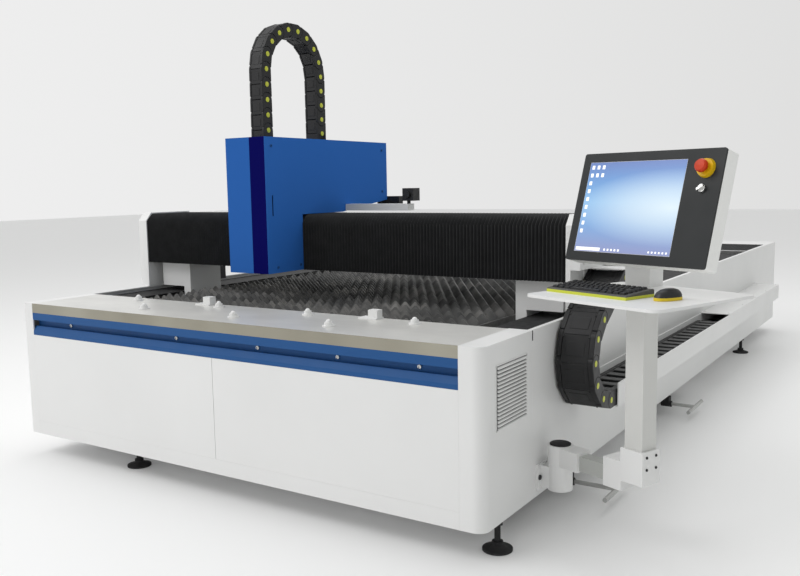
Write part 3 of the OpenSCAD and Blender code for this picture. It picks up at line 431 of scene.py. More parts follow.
def striped_cover():
    """Blue paint with a navy band on the front face, and painted light that makes the right side
    lighter.
    """
    mat = powder_coat("cover_paint", COVER_BLUE, 0.5, gloss=0.03)
    face = compare(mat, along(mat, (0, 1, 0)), "LESS_THAN", at(0, COVER_Y + 1, 0).y)
    band = compare(mat, along(mat, (1, 0, 0)), "GREATER_THAN", at(STRIPE_X, 0, 0).x)
    recolour(mat, both(mat, face, band), NAVY)
    # Painted light: the right side face gets a lighter blue than the front.
    side = compare(mat, along(mat, (1, 0, 0)), "GREATER_THAN", at(COVER_X1 - 1, 0, 0).x)
    recolour(mat, side, shade(COVER_BLUE, 1.4))
    return mat


def monitor_shell():
    """Light shell with a dark bezel plate at the front."""
    mat = powder_coat("monitor_shell", (0.92, 0.92, 0.905), 0.45, gloss=0.3)
    depth = monitor.to_3x3() @ Vector((0, 1, 0))
    depth.normalize()
    face = depth.dot(monitor.translation)
    bezel = compare(mat, along(mat, depth), "LESS_THAN", face + BEZEL_T * MM)
    recolour(mat, bezel, (0.019, 0.021, 0.022))
    return mat


def banded(name, upper, lower, height, rough):
    """Plastic whose lowest part has another colour."""
    mat = moulded(name, upper, rough)
    recolour(mat, compare(mat, along(mat, (0, 0, 1)), "LESS_THAN", height * MM), lower)
    return mat


def camera_mount():
    """Black plastic camera on a white bar."""
    mat = moulded("camera_plastic", BLACK, 0.46)
    low = compare(mat, along(mat, (0, 0, 1)), "LESS_THAN", (CAMERA_BAR_TOP + 0.5) * MM)
    near = compare(mat, along(mat, (0, 1, 0)), "LESS_THAN", at(0, CAMERA_BAR_LIMIT, 0).y)
    recolour(mat, both(mat, low, near), WHITE)
    return mat


def pan_with_skirt_shade():
    """Bright steel rod and handle; the pan further in is painted near black as the shade under the
    skirt.
    """
    mat = brushed("pan_steel", (0.48, 0.48, 0.47), 0.38, (5.0, 5.0, 5.0))
    # Painted shade: the pan further in than the rod, under the skirt, is near black.
    inside = compare(mat, along(mat, (1, 0, 0)), "LESS_THAN", at(ROD_X, 0, 0).x)
    recolour(mat, inside, (0.05, 0.05, 0.05))
    return mat


def shelf_with_lip_reflection():
    """Brushed stainless steel with a darker, warmer painted reflection on the folded front lip."""
    mat = brushed("brushed_stainless", (0.72, 0.715, 0.69), 0.38, (0.35, 9.0, 9.0), 0.5, 0.08)
    # Painted reflection: the front lip is darker and warmer, in streaks that change along its length.
    lip = compare(mat, along(mat, (0, 1, 0)), "LESS_THAN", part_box("steel_shelf")[0].y + 2 * MM)
    reflection_streaks = speckle(mat, 2.2, (1.0, 0.0, 0.0), 2.0)
    lip_reflection = [(0.35, (0.29, 0.27, 0.215)), (0.65, (0.39, 0.37, 0.305))]
    recolour(mat, lip, ramp(mat, reflection_streaks, lip_reflection))
    return mat


def louvre_with_slot_shade():
    """White paint with painted shade that darkens it in the slots between the blades."""
    mat = powder_coat("louvre_paint_and_shade", WHITE)
    # Painted shade: the white turns dark grey deep in the slots between the blades.
    deep = at(BASE_W + LOUVRE_PLATE + 0.2, 0, 0).x
    shallow = at(BASE_W + LOUVRE_PLATE + 4.5, 0, 0).x
    slot_shade = rescale(mat, along(mat, (1, 0, 0)), deep, shallow, 1.0, 0.0)
    rim = 3
    ends = (at(0, LOUVRE_Y[0] + rim, 0).y, at(0, LOUVRE_Y[1] - rim, 0).y)
    across = between(mat, along(mat, (0, 1, 0)), *ends)
    upright = between(mat, along(mat, (0, 0, 1)), LOUVRE_Z[0] * MM, LOUVRE_Z[1] * MM)
    recolour(mat, both(mat, slot_shade, both(mat, across, upright)), (0.09, 0.09, 0.09))
    return mat


def arm_finish():
    """White arm whose tube between root and end block is grey."""
    mat = powder_coat("arm_paint", WHITE)
    reach = Vector((math.cos(ARM_ANGLE), math.sin(ARM_ANGLE), 0))
    pivot = reach.dot(at(DRUM_X, DRUM_Y, 0))
    tube = between(mat, along(mat, reach), pivot + TUBE_U0 * MM, pivot + TUBE_U1 * MM)
    recolour(mat, tube, (0.45, 0.46, 0.44))
    return mat


camera_paint = camera_mount()
stainless = shelf_with_lip_reflection()
louvre_paint_and_shade = louvre_with_slot_shade()
arm_paint = arm_finish()
pan_steel = pan_with_skirt_shade()
slat_steel = burnt_steel()
cloth = bellows_cloth()
cover_paint = striped_cover()
shell = monitor_shell()
keys = banded("keyboard_plastic", (0.075, 0.074, 0.066), LIME, DESK_Z + KEYBOARD_BAND, 0.5)
cap_plastic = moulded("key_cap_plastic", INK, 0.5, gloss=0.3)
mouse_plastic = banded("mouse_plastic", INK, (0.75, 0.55, 0.02), DESK_Z + MOUSE_BAND, 0.38)

DRESS = {
    "front_channel": blue, "head_cover": cover_paint, "steel_shelf": stainless,
    "linear_rails": ground, "gear_racks": ground, "beam_rails": ground,
    "scrap_pan_front": pan_steel, "scrap_pan_rear": pan_steel, "selector_knob": turned,
    "slats": slat_steel, "slat_supports": slat_steel, "rail_covers": rubber,
    "levelling_feet": rubber, "gantry_motors": dark, "carriage_plate": dark,
    "z_actuator": dark, "z_slide": dark, "cutting_head": black_metal,
    "bed_camera": camera_paint, "nozzle": copper, "louvre_vent": louvre_paint_and_shade,
    "console_arm": arm_paint, "monitor_case": shell, "estop_ring": yellow, "estop_button": red,
    "console_column": pale,
}
for name, obj in nodes.items():
    obj.data.materials.clear()
    obj.data.materials.append(DRESS.get(name, white))

SOFT_EDGES = {
    "front_end_cap": 2.0, "front_panels": 2.0, "front_plinth": 1.5, "side_skin_left": 1.5,
    "side_skin_right": 1.5, "rear_panel": 1.5, "beam_end_left": 4.0, "beam_end_right": 4.0,
    "head_cover": 1.5, "console_shelf": 4.0, "console_column": 3.0, "console_arm": 2.0,
    "console_bracket": 2.0, "monitor_case": 3.0, "monitor_post": 3.0,
    "chain_tray": 1.0, "tray_cover": 1.0, "steel_shelf": 1.0, "bed_camera": 2.0,
    "gantry_feet": 2.0, "gantry_motors": 2.0, "sheet_stops": 1.5, "chain_bracket": 1.5,
}
for name, width in SOFT_EDGES.items():
    edge = nodes[name].modifiers.new("soft_edges", "BEVEL")
    edge.width = width * MM
    edge.segments = 2
    edge.limit_method = "ANGLE"
    edge.angle_limit = math.radians(40)


class Shape:
    """Vertices and faces of one piece, gathered from several simple forms."""

    def __init__(self):
        self.verts = []
        self.faces = []
        self.slots = []

    def add(self, verts, faces, matrix, slot=0):
        """Takes in one form, moved by a matrix, with the number of its material."""
        first = len(self.verts)
        self.verts += [matrix @ Vector(v) for v in verts]
        self.faces += [[first + i for i in face] for face in faces]
        self.slots += [slot] * len(faces)

    def build(self, name, materials, sharp=35):
        """Makes the object, smooth except at edges sharper than an angle in degrees."""
        mesh = bpy.data.meshes.new(name)
        mesh.from_pydata(self.verts, [], self.faces)
        for mat in materials:
            mesh.materials.append(mat)
        mesh.polygons.foreach_set("material_index", self.slots)
        mesh.polygons.foreach_set("use_smooth", [True] * len(self.faces))
        work = bmesh.new()
        work.from_mesh(mesh)
        bmesh.ops.recalc_face_normals(work, faces=work.faces)
        work.to_mesh(mesh)
        work.free()
        mesh.set_sharp_from_angle(angle=math.radians(sharp))
        obj = bpy.data.objects.new(name, mesh)
        bpy.context.collection.objects.link(obj)
        return obj


SIGNS = (-1, 1)
SQUARE = ((-1, -1), (1, -1), (1, 1), (-1, 1))


def corner_of(axis, s, p, q):
    """Corner of a cube by its sign on an axis and its signs on the two that follow."""
    corner = [0, 0, 0]
    for step, sign in enumerate((s, p, q)):
        corner[(axis + step) % 3] = sign
    return tuple(corner)


def block(center, size, chamfer):
    """Box with all its edges chamfered."""
    verts, number = [], {}
    for corner in product(SIGNS, repeat=3):
        for full in range(3):
            number[corner, full] = len(verts)
            verts.append([
                center[a] + corner[a] * (size[a] / 2 - (0 if a == full else chamfer))
                for a in range(3)
            ])
    faces = []
    for a in range(3):
        b = (a + 1) % 3
        for s in SIGNS:
            faces.append([number[corner_of(a, s, p, q), a] for p, q in SQUARE])
            for p in SIGNS:
                low, high = (corner_of(a, s, p, q) for q in SIGNS)
                faces.append([number[low, a], number[high, a], number[high, b], number[low, b]])
    faces += [[number[corner, k] for k in range(3)] for corner in product(SIGNS, repeat=3)]
    return verts, faces


def skin(rings):
    """Faces between rings of equal count; a ring that repeats one point closes to a tip."""
    faces = []
    for low, high in zip(rings, rings[1:]):
        for i in range(len(low)):
            j = (i + 1) % len(low)
            faces.append(list(dict.fromkeys((low[i], low[j], high[j], high[i]))))
    return faces


def lathe(profile, segments=20):
    """Solid of revolution about Z from points of radius and height."""
    verts, rings = [], []
    for r, z in profile:
        if r == 0:
            rings.append([len(verts)] * segments)
            verts.append((0, 0, z))
            continue
        rings.append(list(range(len(verts), len(verts) + segments)))
        for i in range(segments):
            a = 2 * math.pi * i / segments
            verts.append((r * math.cos(a), r * math.sin(a), z))
    return verts, skin(rings)


def prism(outline, z0, z1, chamfer):
    """Outline drawn out along Z, with a chamfer round its upper end."""
    n = len(outline)
    inner = []
    for i in range(n):
        before, here, after = (Vector(outline[k % n]) for k in (i - 1, i, i + 1))
        inward = Vector((0, 0))
        for side in (here - before, after - here):
            side = side.normalized()
            inward += Vector((-side.y, side.x))
        inner.append(here + inward.normalized() * chamfer)
    top = z1 - math.copysign(chamfer, z1 - z0)
    verts = [(x, y, z0) for x, y in outline]
    verts += [(x, y, top) for x, y in outline]
    verts += [(p.x, p.y, z1) for p in inner]
    rings = [list(range(k * n, (k + 1) * n)) for k in range(3)]
    return verts, [rings[0], rings[-1]] + skin(rings)


def link_outline(pitch, h):
    """Side of a chain link, counter-clockwise: a round nose and a hollow heel."""
    heel = h * 0.24
    hollow = h / 2 + 0.6
    nose = [
        (pitch + h / 2 * math.cos(a), h / 2 * math.sin(a))
        for a in (math.radians(-90 + 15 * i) for i in range(13))
    ]
    reach = math.acos(heel / hollow)
    bite = [
        (hollow * math.cos(a), hollow * math.sin(a))
        for a in (reach - reach * i / 4 for i in range(9))
    ]
    return [(heel, -h / 2)] + nose + [(heel, h / 2)] + bite


PAD_H = 1.4
PIN_SCALE = 2.4
BAR_SHARE = 0.54
PIN = [(0, -1), (1.0, -1), (1.0, 0.35), (0.85, 0.55), (0, 0.62)]


def add_link(shape, pitch, h, w, matrix, lids=(0.97, 0.97), open_side=0):
    """One drag-chain link: side plates, lids with raised pads and coloured pins.

    The lids on the lower and the upper side have the given shares of the pitch as lengths.
    On the open side, -1 for the lower or 1 for the upper one, a cross bar replaces the lid.
    """
    plate = w * 0.13
    inner_t = w * 0.05
    lid_t = h * 0.14
    lid_w = w - 2 * plate - 1
    lid_edge = lid_t * 0.2
    pin_r = h * 0.18
    outline = link_outline(pitch, h)
    for side, lid in zip(SIGNS, lids):
        shape.add(*prism(outline, side * (w / 2 - plate), side * w / 2, h * 0.03), matrix)
        inner = (h * 0.1, 0, side * (w / 2 - plate - inner_t / 2))
        shape.add(*block(inner, (h * 0.75, h * 0.93, inner_t), 1.0), matrix)
        place = matrix @ Matrix.Translation((pitch, 0, side * w / 2))
        scale = Matrix.Diagonal((pin_r, pin_r, side * PIN_SCALE, 1))
        shape.add(*lathe(PIN, 12), place @ scale, 1)
        lid_l = pitch * lid
        y = side * (h / 2 - PAD_H - lid_t / 2)
        if side == open_side:
            bar = (lid_l * BAR_SHARE, lid_t, lid_w)
            shape.add(*block((pitch / 2, y, 0), bar, lid_edge), matrix, 2)
            continue
        shape.add(*block((pitch / 2, y, 0), (lid_l, lid_t, lid_w), lid_edge), matrix)
        pad = (pitch / 2, side * (h / 2 - PAD_H), 0)
        shape.add(*block(pad, (lid_l * 0.52, 2 * PAD_H, w * 0.5), PAD_H * 0.8), matrix)


def straight(shape, n, pitch, h, w, matrix, open_side=0):
    """A straight run of links."""
    for i in range(n):
        place = matrix @ Matrix.Translation((i * pitch, 0, 0))
        add_link(shape, pitch, h, w, place, open_side=open_side)


def bend(shape, n, half_n, pitch, h, w, r, matrix, open_side=0):
    """Links round a bend to the left; a half turn takes half_n links."""
    step = math.pi / half_n
    lids = (0.98 * (1 + h / 2 / r), 0.96 * (1 - h / 2 / r))
    for i in range(n):
        a = i * step
        place = Matrix.Translation((r * math.sin(a), r - r * math.cos(a), 0))
        turned_link = matrix @ place @ Matrix.Rotation(a + step / 2, 4, "Z")
        add_link(shape, pitch, h, w, turned_link, lids, open_side)


def even_blend(obj, axis):
    """Bakes a piece's placement into its mesh; the axis is not used."""
    axis = Vector(axis)
    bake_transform(obj)


# Side chain: the bend rides on its own body. Of the three links that climb to the gantry the first
# follows the bend and the others the gantry; between them a run of links lies folded inside the
# second link.
climb = Vector((0, math.cos(CHAIN_CLIMB), math.sin(CHAIN_CLIMB)))
climb_up = Vector((0, -math.sin(CHAIN_CLIMB), math.cos(CHAIN_CLIMB)))
climb_start = Vector((CHAIN_X, CLIMB_Y, CLIMB_Z))
upper_start = climb_start + climb * CHAIN_PITCH
shape = Shape()
lower_frame = axes((CHAIN_X, CHAIN_BEND_Y, CHAIN_Z), (0, -1, 0), (0, 0, 1))
bend(shape, CHAIN_BEND_N, CHAIN_HALF_N, CHAIN_PITCH, CHAIN_H, CHAIN_W, CHAIN_R, lower_frame, 1)
add_link(shape, CHAIN_PITCH, CHAIN_H, CHAIN_W, axes(climb_start, climb, climb_up), open_side=-1)
loop = shape.build("side_chain_loop", [plastic, lime, bar_plastic])
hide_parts("chain_loop")
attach(loop, "chain_loop")

shape = Shape()
place = axes(upper_start, climb, climb_up)
straight(shape, CHAIN_UPPER_N - 1, CHAIN_PITCH, CHAIN_H, CHAIN_W, place, -1)
head_end = shape.build("side_chain_end", [plastic, lime, bar_plastic])
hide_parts("chain_upper_run")
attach(head_end, "gantry")

STORED_N = 18
STORED_PARTS = 6
STORED_SECTION = 0.94
stored_step = climb * (CHAIN_PITCH / STORED_N)
columns = (
    stored_step / CHAIN_PITCH,
    Vector((0, 0, STORED_SECTION)),
    Vector((STORED_SECTION, 0, 0)),
)
folded = Matrix([column * MM for column in columns]).transposed().to_4x4()
for part in range(STORED_PARTS):
    shape = Shape()
    first = part * STORED_N // STORED_PARTS
    last = (part + 1) * STORED_N // STORED_PARTS
    for i in range(first, last):
        start = at(*(upper_start + stored_step * i))
        add_link(shape, CHAIN_PITCH, CHAIN_H, CHAIN_W, Matrix.Translation(start) @ folded)
    run = shape.build(f"side_chain_upper_{part + 1}", [plastic, lime])
    even_blend(run, (0, 1, 0))

ANCHOR_GAP = 2
shape = Shape()
lower_l = CHAIN_LOWER_N * CHAIN_PITCH
place = axes((CHAIN_X, CHAIN_BEND_Y + lower_l, CHAIN_Z), (0, -1, 0), (0, 0, 1))
straight(shape, CHAIN_LOWER_N, CHAIN_PITCH, CHAIN_H, CHAIN_W, place, 1)
anchor_y = CHAIN_BEND_Y + lower_l + ANCHOR_GAP
anchor_l = CHAIN_FIXED_Y - anchor_y
anchor_h = CHAIN_H * 0.75
shape.add(*block(
    (CHAIN_X, anchor_y + anchor_l / 2, CHAIN_Z - CHAIN_H / 2 + anchor_h / 2),
    (CHAIN_W, anchor_l, anchor_h), 2,
), machine)
lower = shape.build("side_chain_lower", [plastic, lime, bar_plastic])
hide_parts("chain_lower_run")
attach(lower, "base")
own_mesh(lower)

# Arched chain over the head
shape = Shape()
front_y, rear_y = ARCH_Y - ARCH_R, ARCH_Y + ARCH_R
place = axes((ARCH_X, front_y, ARCH_Z - ARCH_FRONT_N * ARCH_PITCH), (0, 0, 1), (0, -1, 0))
straight(shape, ARCH_FRONT_N, ARCH_PITCH, ARCH_H, ARCH_W, place)
place = axes((ARCH_X, front_y, ARCH_Z), (0, 0, 1), (0, 1, 0))
bend(shape, ARCH_BEND_N, ARCH_BEND_N, ARCH_PITCH, ARCH_H, ARCH_W, ARCH_R, place)
place = axes((ARCH_X, rear_y, ARCH_Z), (0, 0, -1), (0, 1, 0))
straight(shape, ARCH_REAR_N, ARCH_PITCH, ARCH_H, ARCH_W, place)
foot_h = ARCH_Z - ARCH_REAR_N * ARCH_PITCH - COVER_TOP
shape.add(*block((ARCH_X, rear_y, COVER_TOP + foot_h / 2), (ARCH_W, ARCH_H, foot_h), 2), machine)
arch = shape.build("head_chain", [plastic, lime])
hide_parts("arch_chain")
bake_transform(arch)

# Beam chain: its upper run lies between the rolling bend and the carriage, and its lower run
# follows the bend along the tray
shape = Shape()
lower_l = BEAM_LOWER_N * BEAM_PITCH
place = axes((BEAM_BEND_X + lower_l, BEAM_CHAIN_Y, BEAM_CHAIN_Z), (-1, 0, 0), (0, 0, 1))
straight(shape, BEAM_LOWER_N, BEAM_PITCH, BEAM_CHAIN_H, BEAM_CHAIN_W, place)
run = shape.build("beam_chain_lower", [plastic, lime])
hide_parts("beam_lower_run")
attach(run, "beam_loop")

shape = Shape()
place = axes((BEAM_BEND_X, BEAM_CHAIN_Y, BEAM_CHAIN_Z), (-1, 0, 0), (0, 0, 1))
bend(shape, BEAM_BEND_N, BEAM_BEND_N, BEAM_PITCH, BEAM_CHAIN_H, BEAM_CHAIN_W, BEAM_CHAIN_R, place)
run = shape.build("beam_chain_loop", [plastic, lime])
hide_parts("beam_loop")
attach(run, "beam_loop")

BEAM_PARTS = 4
upper_l = BEAM_UPPER_N * BEAM_PITCH
for part in range(BEAM_PARTS):
    shape = Shape()
    x0 = BEAM_BEND_X + upper_l * part / BEAM_PARTS
    place = axes((x0, BEAM_CHAIN_Y, BEAM_CHAIN_Z + 2 * BEAM_CHAIN_R), (1, 0, 0), (0, 0, 1))
    straight(shape, BEAM_UPPER_N // BEAM_PARTS, BEAM_PITCH, BEAM_CHAIN_H, BEAM_CHAIN_W, place)
    run = shape.build(f"beam_chain_upper_{part + 1}", [plastic, lime])
    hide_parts("beam_upper_run")
    even_blend(run, (1, 0, 0))

# Bellows: pleats between the gantry's ends and the carriage. A pleat is drawn by places along its
# pitch and their shares of its depth.
PLEAT = [(0.0, 0.0), (0.07, 0.09), (0.43, 0.9), (0.5, 1.0), (0.57, 0.9), (0.93, 0.09)]
BELLOWS_PARTS = 8


def bellows_ring(d):
    """Section of a bellows in Y and Z at a pleat depth, outside first, then the lining."""
    def line(k):
        return [
            (GANTRY_Y + k, BEAM_Z),
            (GANTRY_Y + k, BELLOWS_TOP - BELLOWS_CHAMFER - k * 0.4),
            (GANTRY_Y + BELLOWS_CHAMFER + k * 0.4, BELLOWS_TOP - k),
            (BEAM_BACK, BELLOWS_TOP - k),
        ]
    return line(d) + line(BELLOWS_T)[::-1]


def bellows(name, x0, x1, replaced):
    """Pleats between two places along the beam, cut into parts."""
    pleats = round((x1 - x0) / PLEAT_PITCH)
    step = (x1 - x0) / pleats
    stations = [
        (x0 + (i + place) * step, share * PLEAT_D) for i in range(pleats) for place, share in PLEAT
    ]
    stations.append((x1, 0.0))
    cuts = [round(pleats * k / BELLOWS_PARTS) * len(PLEAT) for k in range(BELLOWS_PARTS + 1)]
    for part in range(BELLOWS_PARTS):
        places = stations[cuts[part]:cuts[part + 1] + 1]
        verts = [(x, y, z) for x, d in places for y, z in bellows_ring(d)]
        n = len(verts) // len(places)
        rings = [list(range(i * n, (i + 1) * n)) for i in range(len(places))]
        faces = skin(rings)
        for end, shown in ((rings[0], part == 0), (rings[-1], part == BELLOWS_PARTS - 1)):
            if shown:
                for k in range(n // 2 - 1):
                    faces.append([end[v] for v in (k, k + 1, n - 2 - k, n - 1 - k)])
        shape = Shape()
        shape.add(verts, faces, machine)
        piece = shape.build(f"{name}_{part + 1}", [cloth], 50)
        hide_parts(replaced)
        even_blend(piece, (1, 0, 0))


bellows("left_bellows", BEAM_X0, PLATE_X0, "bellows_left")
bellows("right_bellows", PLATE_X1, BEAM_X1, "bellows_right")

# Screen picture: a plain gradient with icon tiles and a task bar
glow = surface("screen_picture", (0.02, 0.03, 0.05), 0.25, emission_strength=0.9)
sweep = node(glow, "ShaderNodeTexCoord").outputs["Object"]
parts = node(glow, "ShaderNodeSeparateXYZ", None, {"Vector": sweep}).outputs
upward = rescale(glow, parts["Z"], -SCREEN_H / 2, SCREEN_H / 2)
sky = ramp(glow, upward, [
    (0.0, (0.30, 0.33, 0.58)), (0.30, (0.22, 0.42, 0.76)), (0.55, (0.26, 0.54, 0.88)),
    (0.80, (0.15, 0.34, 0.70)), (1.0, (0.13, 0.21, 0.52)),
])
GLOW_X, GLOW_W, GLOW_H = 165, 380, 125
halo = node(glow, "ShaderNodeMapping", None, {
    "Vector": sweep, "Location": (-GLOW_X / GLOW_W, 0, 0), "Scale": (1 / GLOW_W, 0, 1 / GLOW_H),
}).outputs["Vector"]
away = node(glow, "ShaderNodeVectorMath", {"operation": "LENGTH"}, {"Vector": halo}).outputs["Value"]
bright = ramp(glow, away, [(0.0, (1, 1, 1)), (0.45, (0.62, 0.62, 0.62)), (1.0, (0, 0, 0))])
feed(glow, "Emission Color", choose(glow, bright, sky, (0.80, 0.93, 1.0)))
tile = surface("screen_tile", (0.5, 0.5, 0.5), 0.3, emission_strength=0.8)
tile.node_tree.nodes["Principled BSDF"].inputs["Emission Color"].default_value = (0.95, 0.96, 1.0, 1)

SCREEN_Y = 0.6
SCREEN_RIM = 1.5
GLASS_T = 0.4
TILE_T = 0.2
ICON_W = 11
ICON_H = 13
ICON_STEP = (22, 27)
TASK_Z = -SCREEN_H / 2 + 10
TASK_W = 102
TASK_H = 11
unit = Matrix.Identity(4)
shape = Shape()
glass = (SCREEN_W - 2 * SCREEN_RIM, GLASS_T, SCREEN_H - 2 * SCREEN_RIM)
shape.add(*block((0, SCREEN_Y + GLASS_T / 2, 0), glass, 0.15), unit)


def screen_tile(shape, u, v, w, h):
    """Adds a bright tile, a little proud of the screen's glass."""
    shape.add(*block((u, SCREEN_Y - 0.05, v), (w, TILE_T, h), 0.08), unit, 1)


left_edge, right_edge, top_edge = -SCREEN_W / 2, SCREEN_W / 2, SCREEN_H / 2
for row in range(9):
    for col in range(3 if row < 2 else 1):
        u = left_edge + 16 + col * ICON_STEP[0]
        screen_tile(shape, u, top_edge - 18 - row * ICON_STEP[1], ICON_W, ICON_H)
screen_tile(shape, left_edge + 58, TASK_Z, TASK_W, TASK_H)
for i in range(5):
    screen_tile(shape, left_edge + 128 + i * 14, TASK_Z, 7, 7)
for i in range(6):
    screen_tile(shape, right_edge - 14 - i * 13, TASK_Z, 6, 6)
picture = shape.build("screen_picture", [glow, tile])
picture.matrix_world = monitor
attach(picture, "monitor")

# Mouse: a smooth shell with a wheel over a coloured base
shape = Shape()
mouse_place = (
    console @ Matrix.Translation((MOUSE_U, MOUSE_V, DESK_Z)) @ Matrix.Rotation(MOUSE_TURN, 4, "Z")
)
MOUSE_W = 50
MOUSE_L = 94
ROUNDNESS = 0.8
# Height, size and shift to the rear of each level
LEVELS = [
    (0.0, 0.94, 0.0), (0.5, 1.0, 0.0), (9, 1.0, 0.0), (10, 0.97, 0.0), (16, 0.95, 1.0),
    (24, 0.84, 2.0), (31, 0.62, 4.0), (34.5, 0.32, 5.0), (35.4, 0.0, 5.0),
]
SIDES = 36
verts, rings = [], []
for z, size, shift in LEVELS:
    if size == 0:
        rings.append([len(verts)] * SIDES)
        verts.append((0, shift, z))
        continue
    rings.append(list(range(len(verts), len(verts) + SIDES)))
    for i in range(SIDES):
        a = 2 * math.pi * i / SIDES
        x = MOUSE_W / 2 * math.copysign(abs(math.cos(a)) ** ROUNDNESS, math.cos(a))
        y = MOUSE_L / 2 * math.copysign(abs(math.sin(a)) ** ROUNDNESS, math.sin(a))
        verts.append((x * size, y * size + shift, z))
shape.add(verts, [rings[0]] + skin(rings), mouse_place)
WHEEL = [(0, -3), (7, -3), (8, -1.5), (8, 1.5), (7, 3), (0, 3)]
wheel_place = mouse_place @ Matrix.Translation((0, 27, 23.5)) @ Matrix.Rotation(math.pi / 2, 4, "Y")
shape.add(*lathe(WHEEL), wheel_place, 1)
mouse = shape.build("mouse_shell", [mouse_plastic, rubber], 40)
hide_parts("mouse")
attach(mouse, "console")

# Keyboard: tapered caps on a wedge with a coloured lower part
KEY_UNIT = 19.602
KEY_ROW = 22.6
KEY_GAP = 3.0
KEY_D = KEY_ROW - KEY_GAP - 1
KEY_H = 7.6
KEY_TAPER = 2.4
KEY_EDGE = 1.0
KEY_Z = 12.4
KEY_RISE = 2.03
KEYBOARD_EDGE = 12
BED_FRONT = (4, 13)
BED_REAR = (KEYBOARD_D - 6, 24)
WEDGE = [(0, 0), (KEYBOARD_D, 0), (KEYBOARD_D, 22), BED_REAR, BED_FRONT, (0, KEYBOARD_BAND)]
# Widths of the keys in each row, from the front, as shares of a plain key
KEY_ROWS = [
    [1.25] * 3 + [6.25] + [1.25] * 4,
    [1.5] + [1] * 12 + [1.5],
    [1.75] + [1] * 11 + [2.25],
    [1.5] + [1] * 12 + [1.5],
    [1] * 15,
]


def key_cap(w, d):
    """Tapered key with a chamfer round its upper face."""
    mid_x, mid_y = w / 2, d / 2
    levels = (
        (mid_x, mid_y, 0),
        (mid_x - KEY_TAPER, mid_y - KEY_TAPER, KEY_H - KEY_EDGE),
        ((mid_x - KEY_TAPER) * 0.9, (mid_y - KEY_TAPER) * 0.86, KEY_H),
    )
    verts = [(mid_x + sx * x, mid_y + sy * y, z) for x, y, z in levels for sx, sy in SQUARE]
    rings = [list(range(k, k + 4)) for k in (0, 4, 8)]
    return verts, [rings[0][::-1], rings[-1]] + skin(rings)


shape = Shape()
board = console @ Matrix.Translation((KEYBOARD_U, KEYBOARD_V, DESK_Z))
upright = Matrix(((0, 0, 1, 0), (1, 0, 0, 0), (0, 1, 0, 0), (0, 0, 0, 1)))
shape.add(*prism(WEDGE, 0, KEYBOARD_W, 0.8), board @ upright)
key_slope = math.atan((BED_REAR[1] - BED_FRONT[1]) / (BED_REAR[0] - BED_FRONT[0]))
tilt = Matrix.Rotation(key_slope, 4, "X")
for row, widths in enumerate(KEY_ROWS):
    u = KEYBOARD_EDGE
    for width in widths:
        place = Matrix.Translation((u, KEYBOARD_EDGE + row * KEY_ROW, KEY_Z + row * KEY_RISE))
        shape.add(*key_cap(width * KEY_UNIT - KEY_GAP, KEY_D), board @ place @ tilt, 1)
        u += width * KEY_UNIT
keyboard = shape.build("keyboard_caps", [keys, cap_plastic], 30)
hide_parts("keyboard")
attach(keyboard, "console")

# Ribbed black mat on the front part of the rear deck
MAT_Y = 3896
MAT_W = BASE_W - 48
MAT_L = 584
MAT_T = 1.2
RIB_PITCH = 18
RIB_T = 0.8
RIB_END = 6
shape = Shape()
mat_center = (BASE_W / 2, MAT_Y + MAT_L / 2, TABLE_Z + MAT_T / 2)
shape.add(*block(mat_center, (MAT_W, MAT_L, MAT_T), 0.4), machine)
for i in range(1, round(MAT_L / RIB_PITCH)):
    rib = (BASE_W / 2, MAT_Y + i * RIB_PITCH, TABLE_Z + MAT_T + 0.3)
    shape.add(*block(rib, (MAT_W - 2 * RIB_END, RIB_PITCH / 2, RIB_T), 0.25), machine)
deck_mat = shape.build("deck_mat", [rubber])
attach(deck_mat, "base")

# Black clamps on the rods of the scrap pans, under the skirt
CLAMP_X = BASE_W - 19
CLAMP_Z = ROD_Z + 14
CLAMP_SIZE = (34, 42, 46)
COLLAR_X = BASE_W - 44
COLLAR = [(8.2, 0), (14, 0), (15, 1), (15, 50), (14, 51), (8.2, 51), (8.2, 0)]
for body, y in PAN_MID.items():
    shape = Shape()
    shape.add(*block((CLAMP_X, y, CLAMP_Z), CLAMP_SIZE, 2), machine)
    shape.add(*lathe(COLLAR, 24), axes((COLLAR_X, y, ROD_Z), (0, 1, 0), (0, 0, 1)))
    clamp = shape.build(body + "_clamp", [rubber])
    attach(clamp, body)

# Screws and bolts: a button head with a socket
HEAD = [(0, 0.0), (1.0, 0.0), (1.0, 0.35), (0.86, 0.62), (0.5, 0.72), (0.42, 0.3), (0, 0.3)]


def screws(name, body, mat, frame_matrix, out, radius, places):
    """Screw heads of one size that point outwards, at places in a frame drawn in millimetres."""
    shape = Shape()
    turn = Vector((0, 0, 1)).rotation_difference(Vector(out)).to_matrix().to_4x4()
    scale = Matrix.Diagonal((radius, radius, radius, 1))
    for place in places:
        shape.add(*lathe(HEAD, 14), frame_matrix @ Matrix.Translation(place) @ turn @ scale)
    piece = shape.build(name, [mat])
    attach(piece, body)


FRONT, RIGHT, UP = (0, -1, 0), (1, 0, 0), (0, 0, 1)
GROOVE_Y = 30
GROOVE_Z = CHANNEL_BOTTOM + 52
GROOVE_SCREWS = (278, 917, 1333, 1690, 2012)
screws("channel_screws", "base", turned, machine, FRONT, 8, [
    (x, GROOVE_Y, GROOVE_Z) for x in GROOVE_SCREWS
])
screws("louvre_screws", "base", turned, machine, RIGHT, 3.5, [
    (BASE_W + LOUVRE_PLATE, y, z) for y in LOUVRE_Y for z in LOUVRE_Z
])
BRACKET_T = 10
BRACKET_Z = 166.5
screws("bracket_bolts", "base", black_metal, machine, RIGHT, 9, [
    (BASE_W + BRACKET_T, DRUM_Y + y, BRACKET_Z) for y in (-46, 60)
])
LID_INSET = 14
LID_STEP = 360
screws("tray_screws", "base", white, machine, UP, 5, [
    (BASE_W + x, y, TRAY_TOP + TRAY_T) for x in (LID_INSET, TRAY_W - LID_INSET)
    for y in range(CHAIN_FIXED_Y + 40, TRAY_END_Y, LID_STEP)
])
END_COVER_T = 55
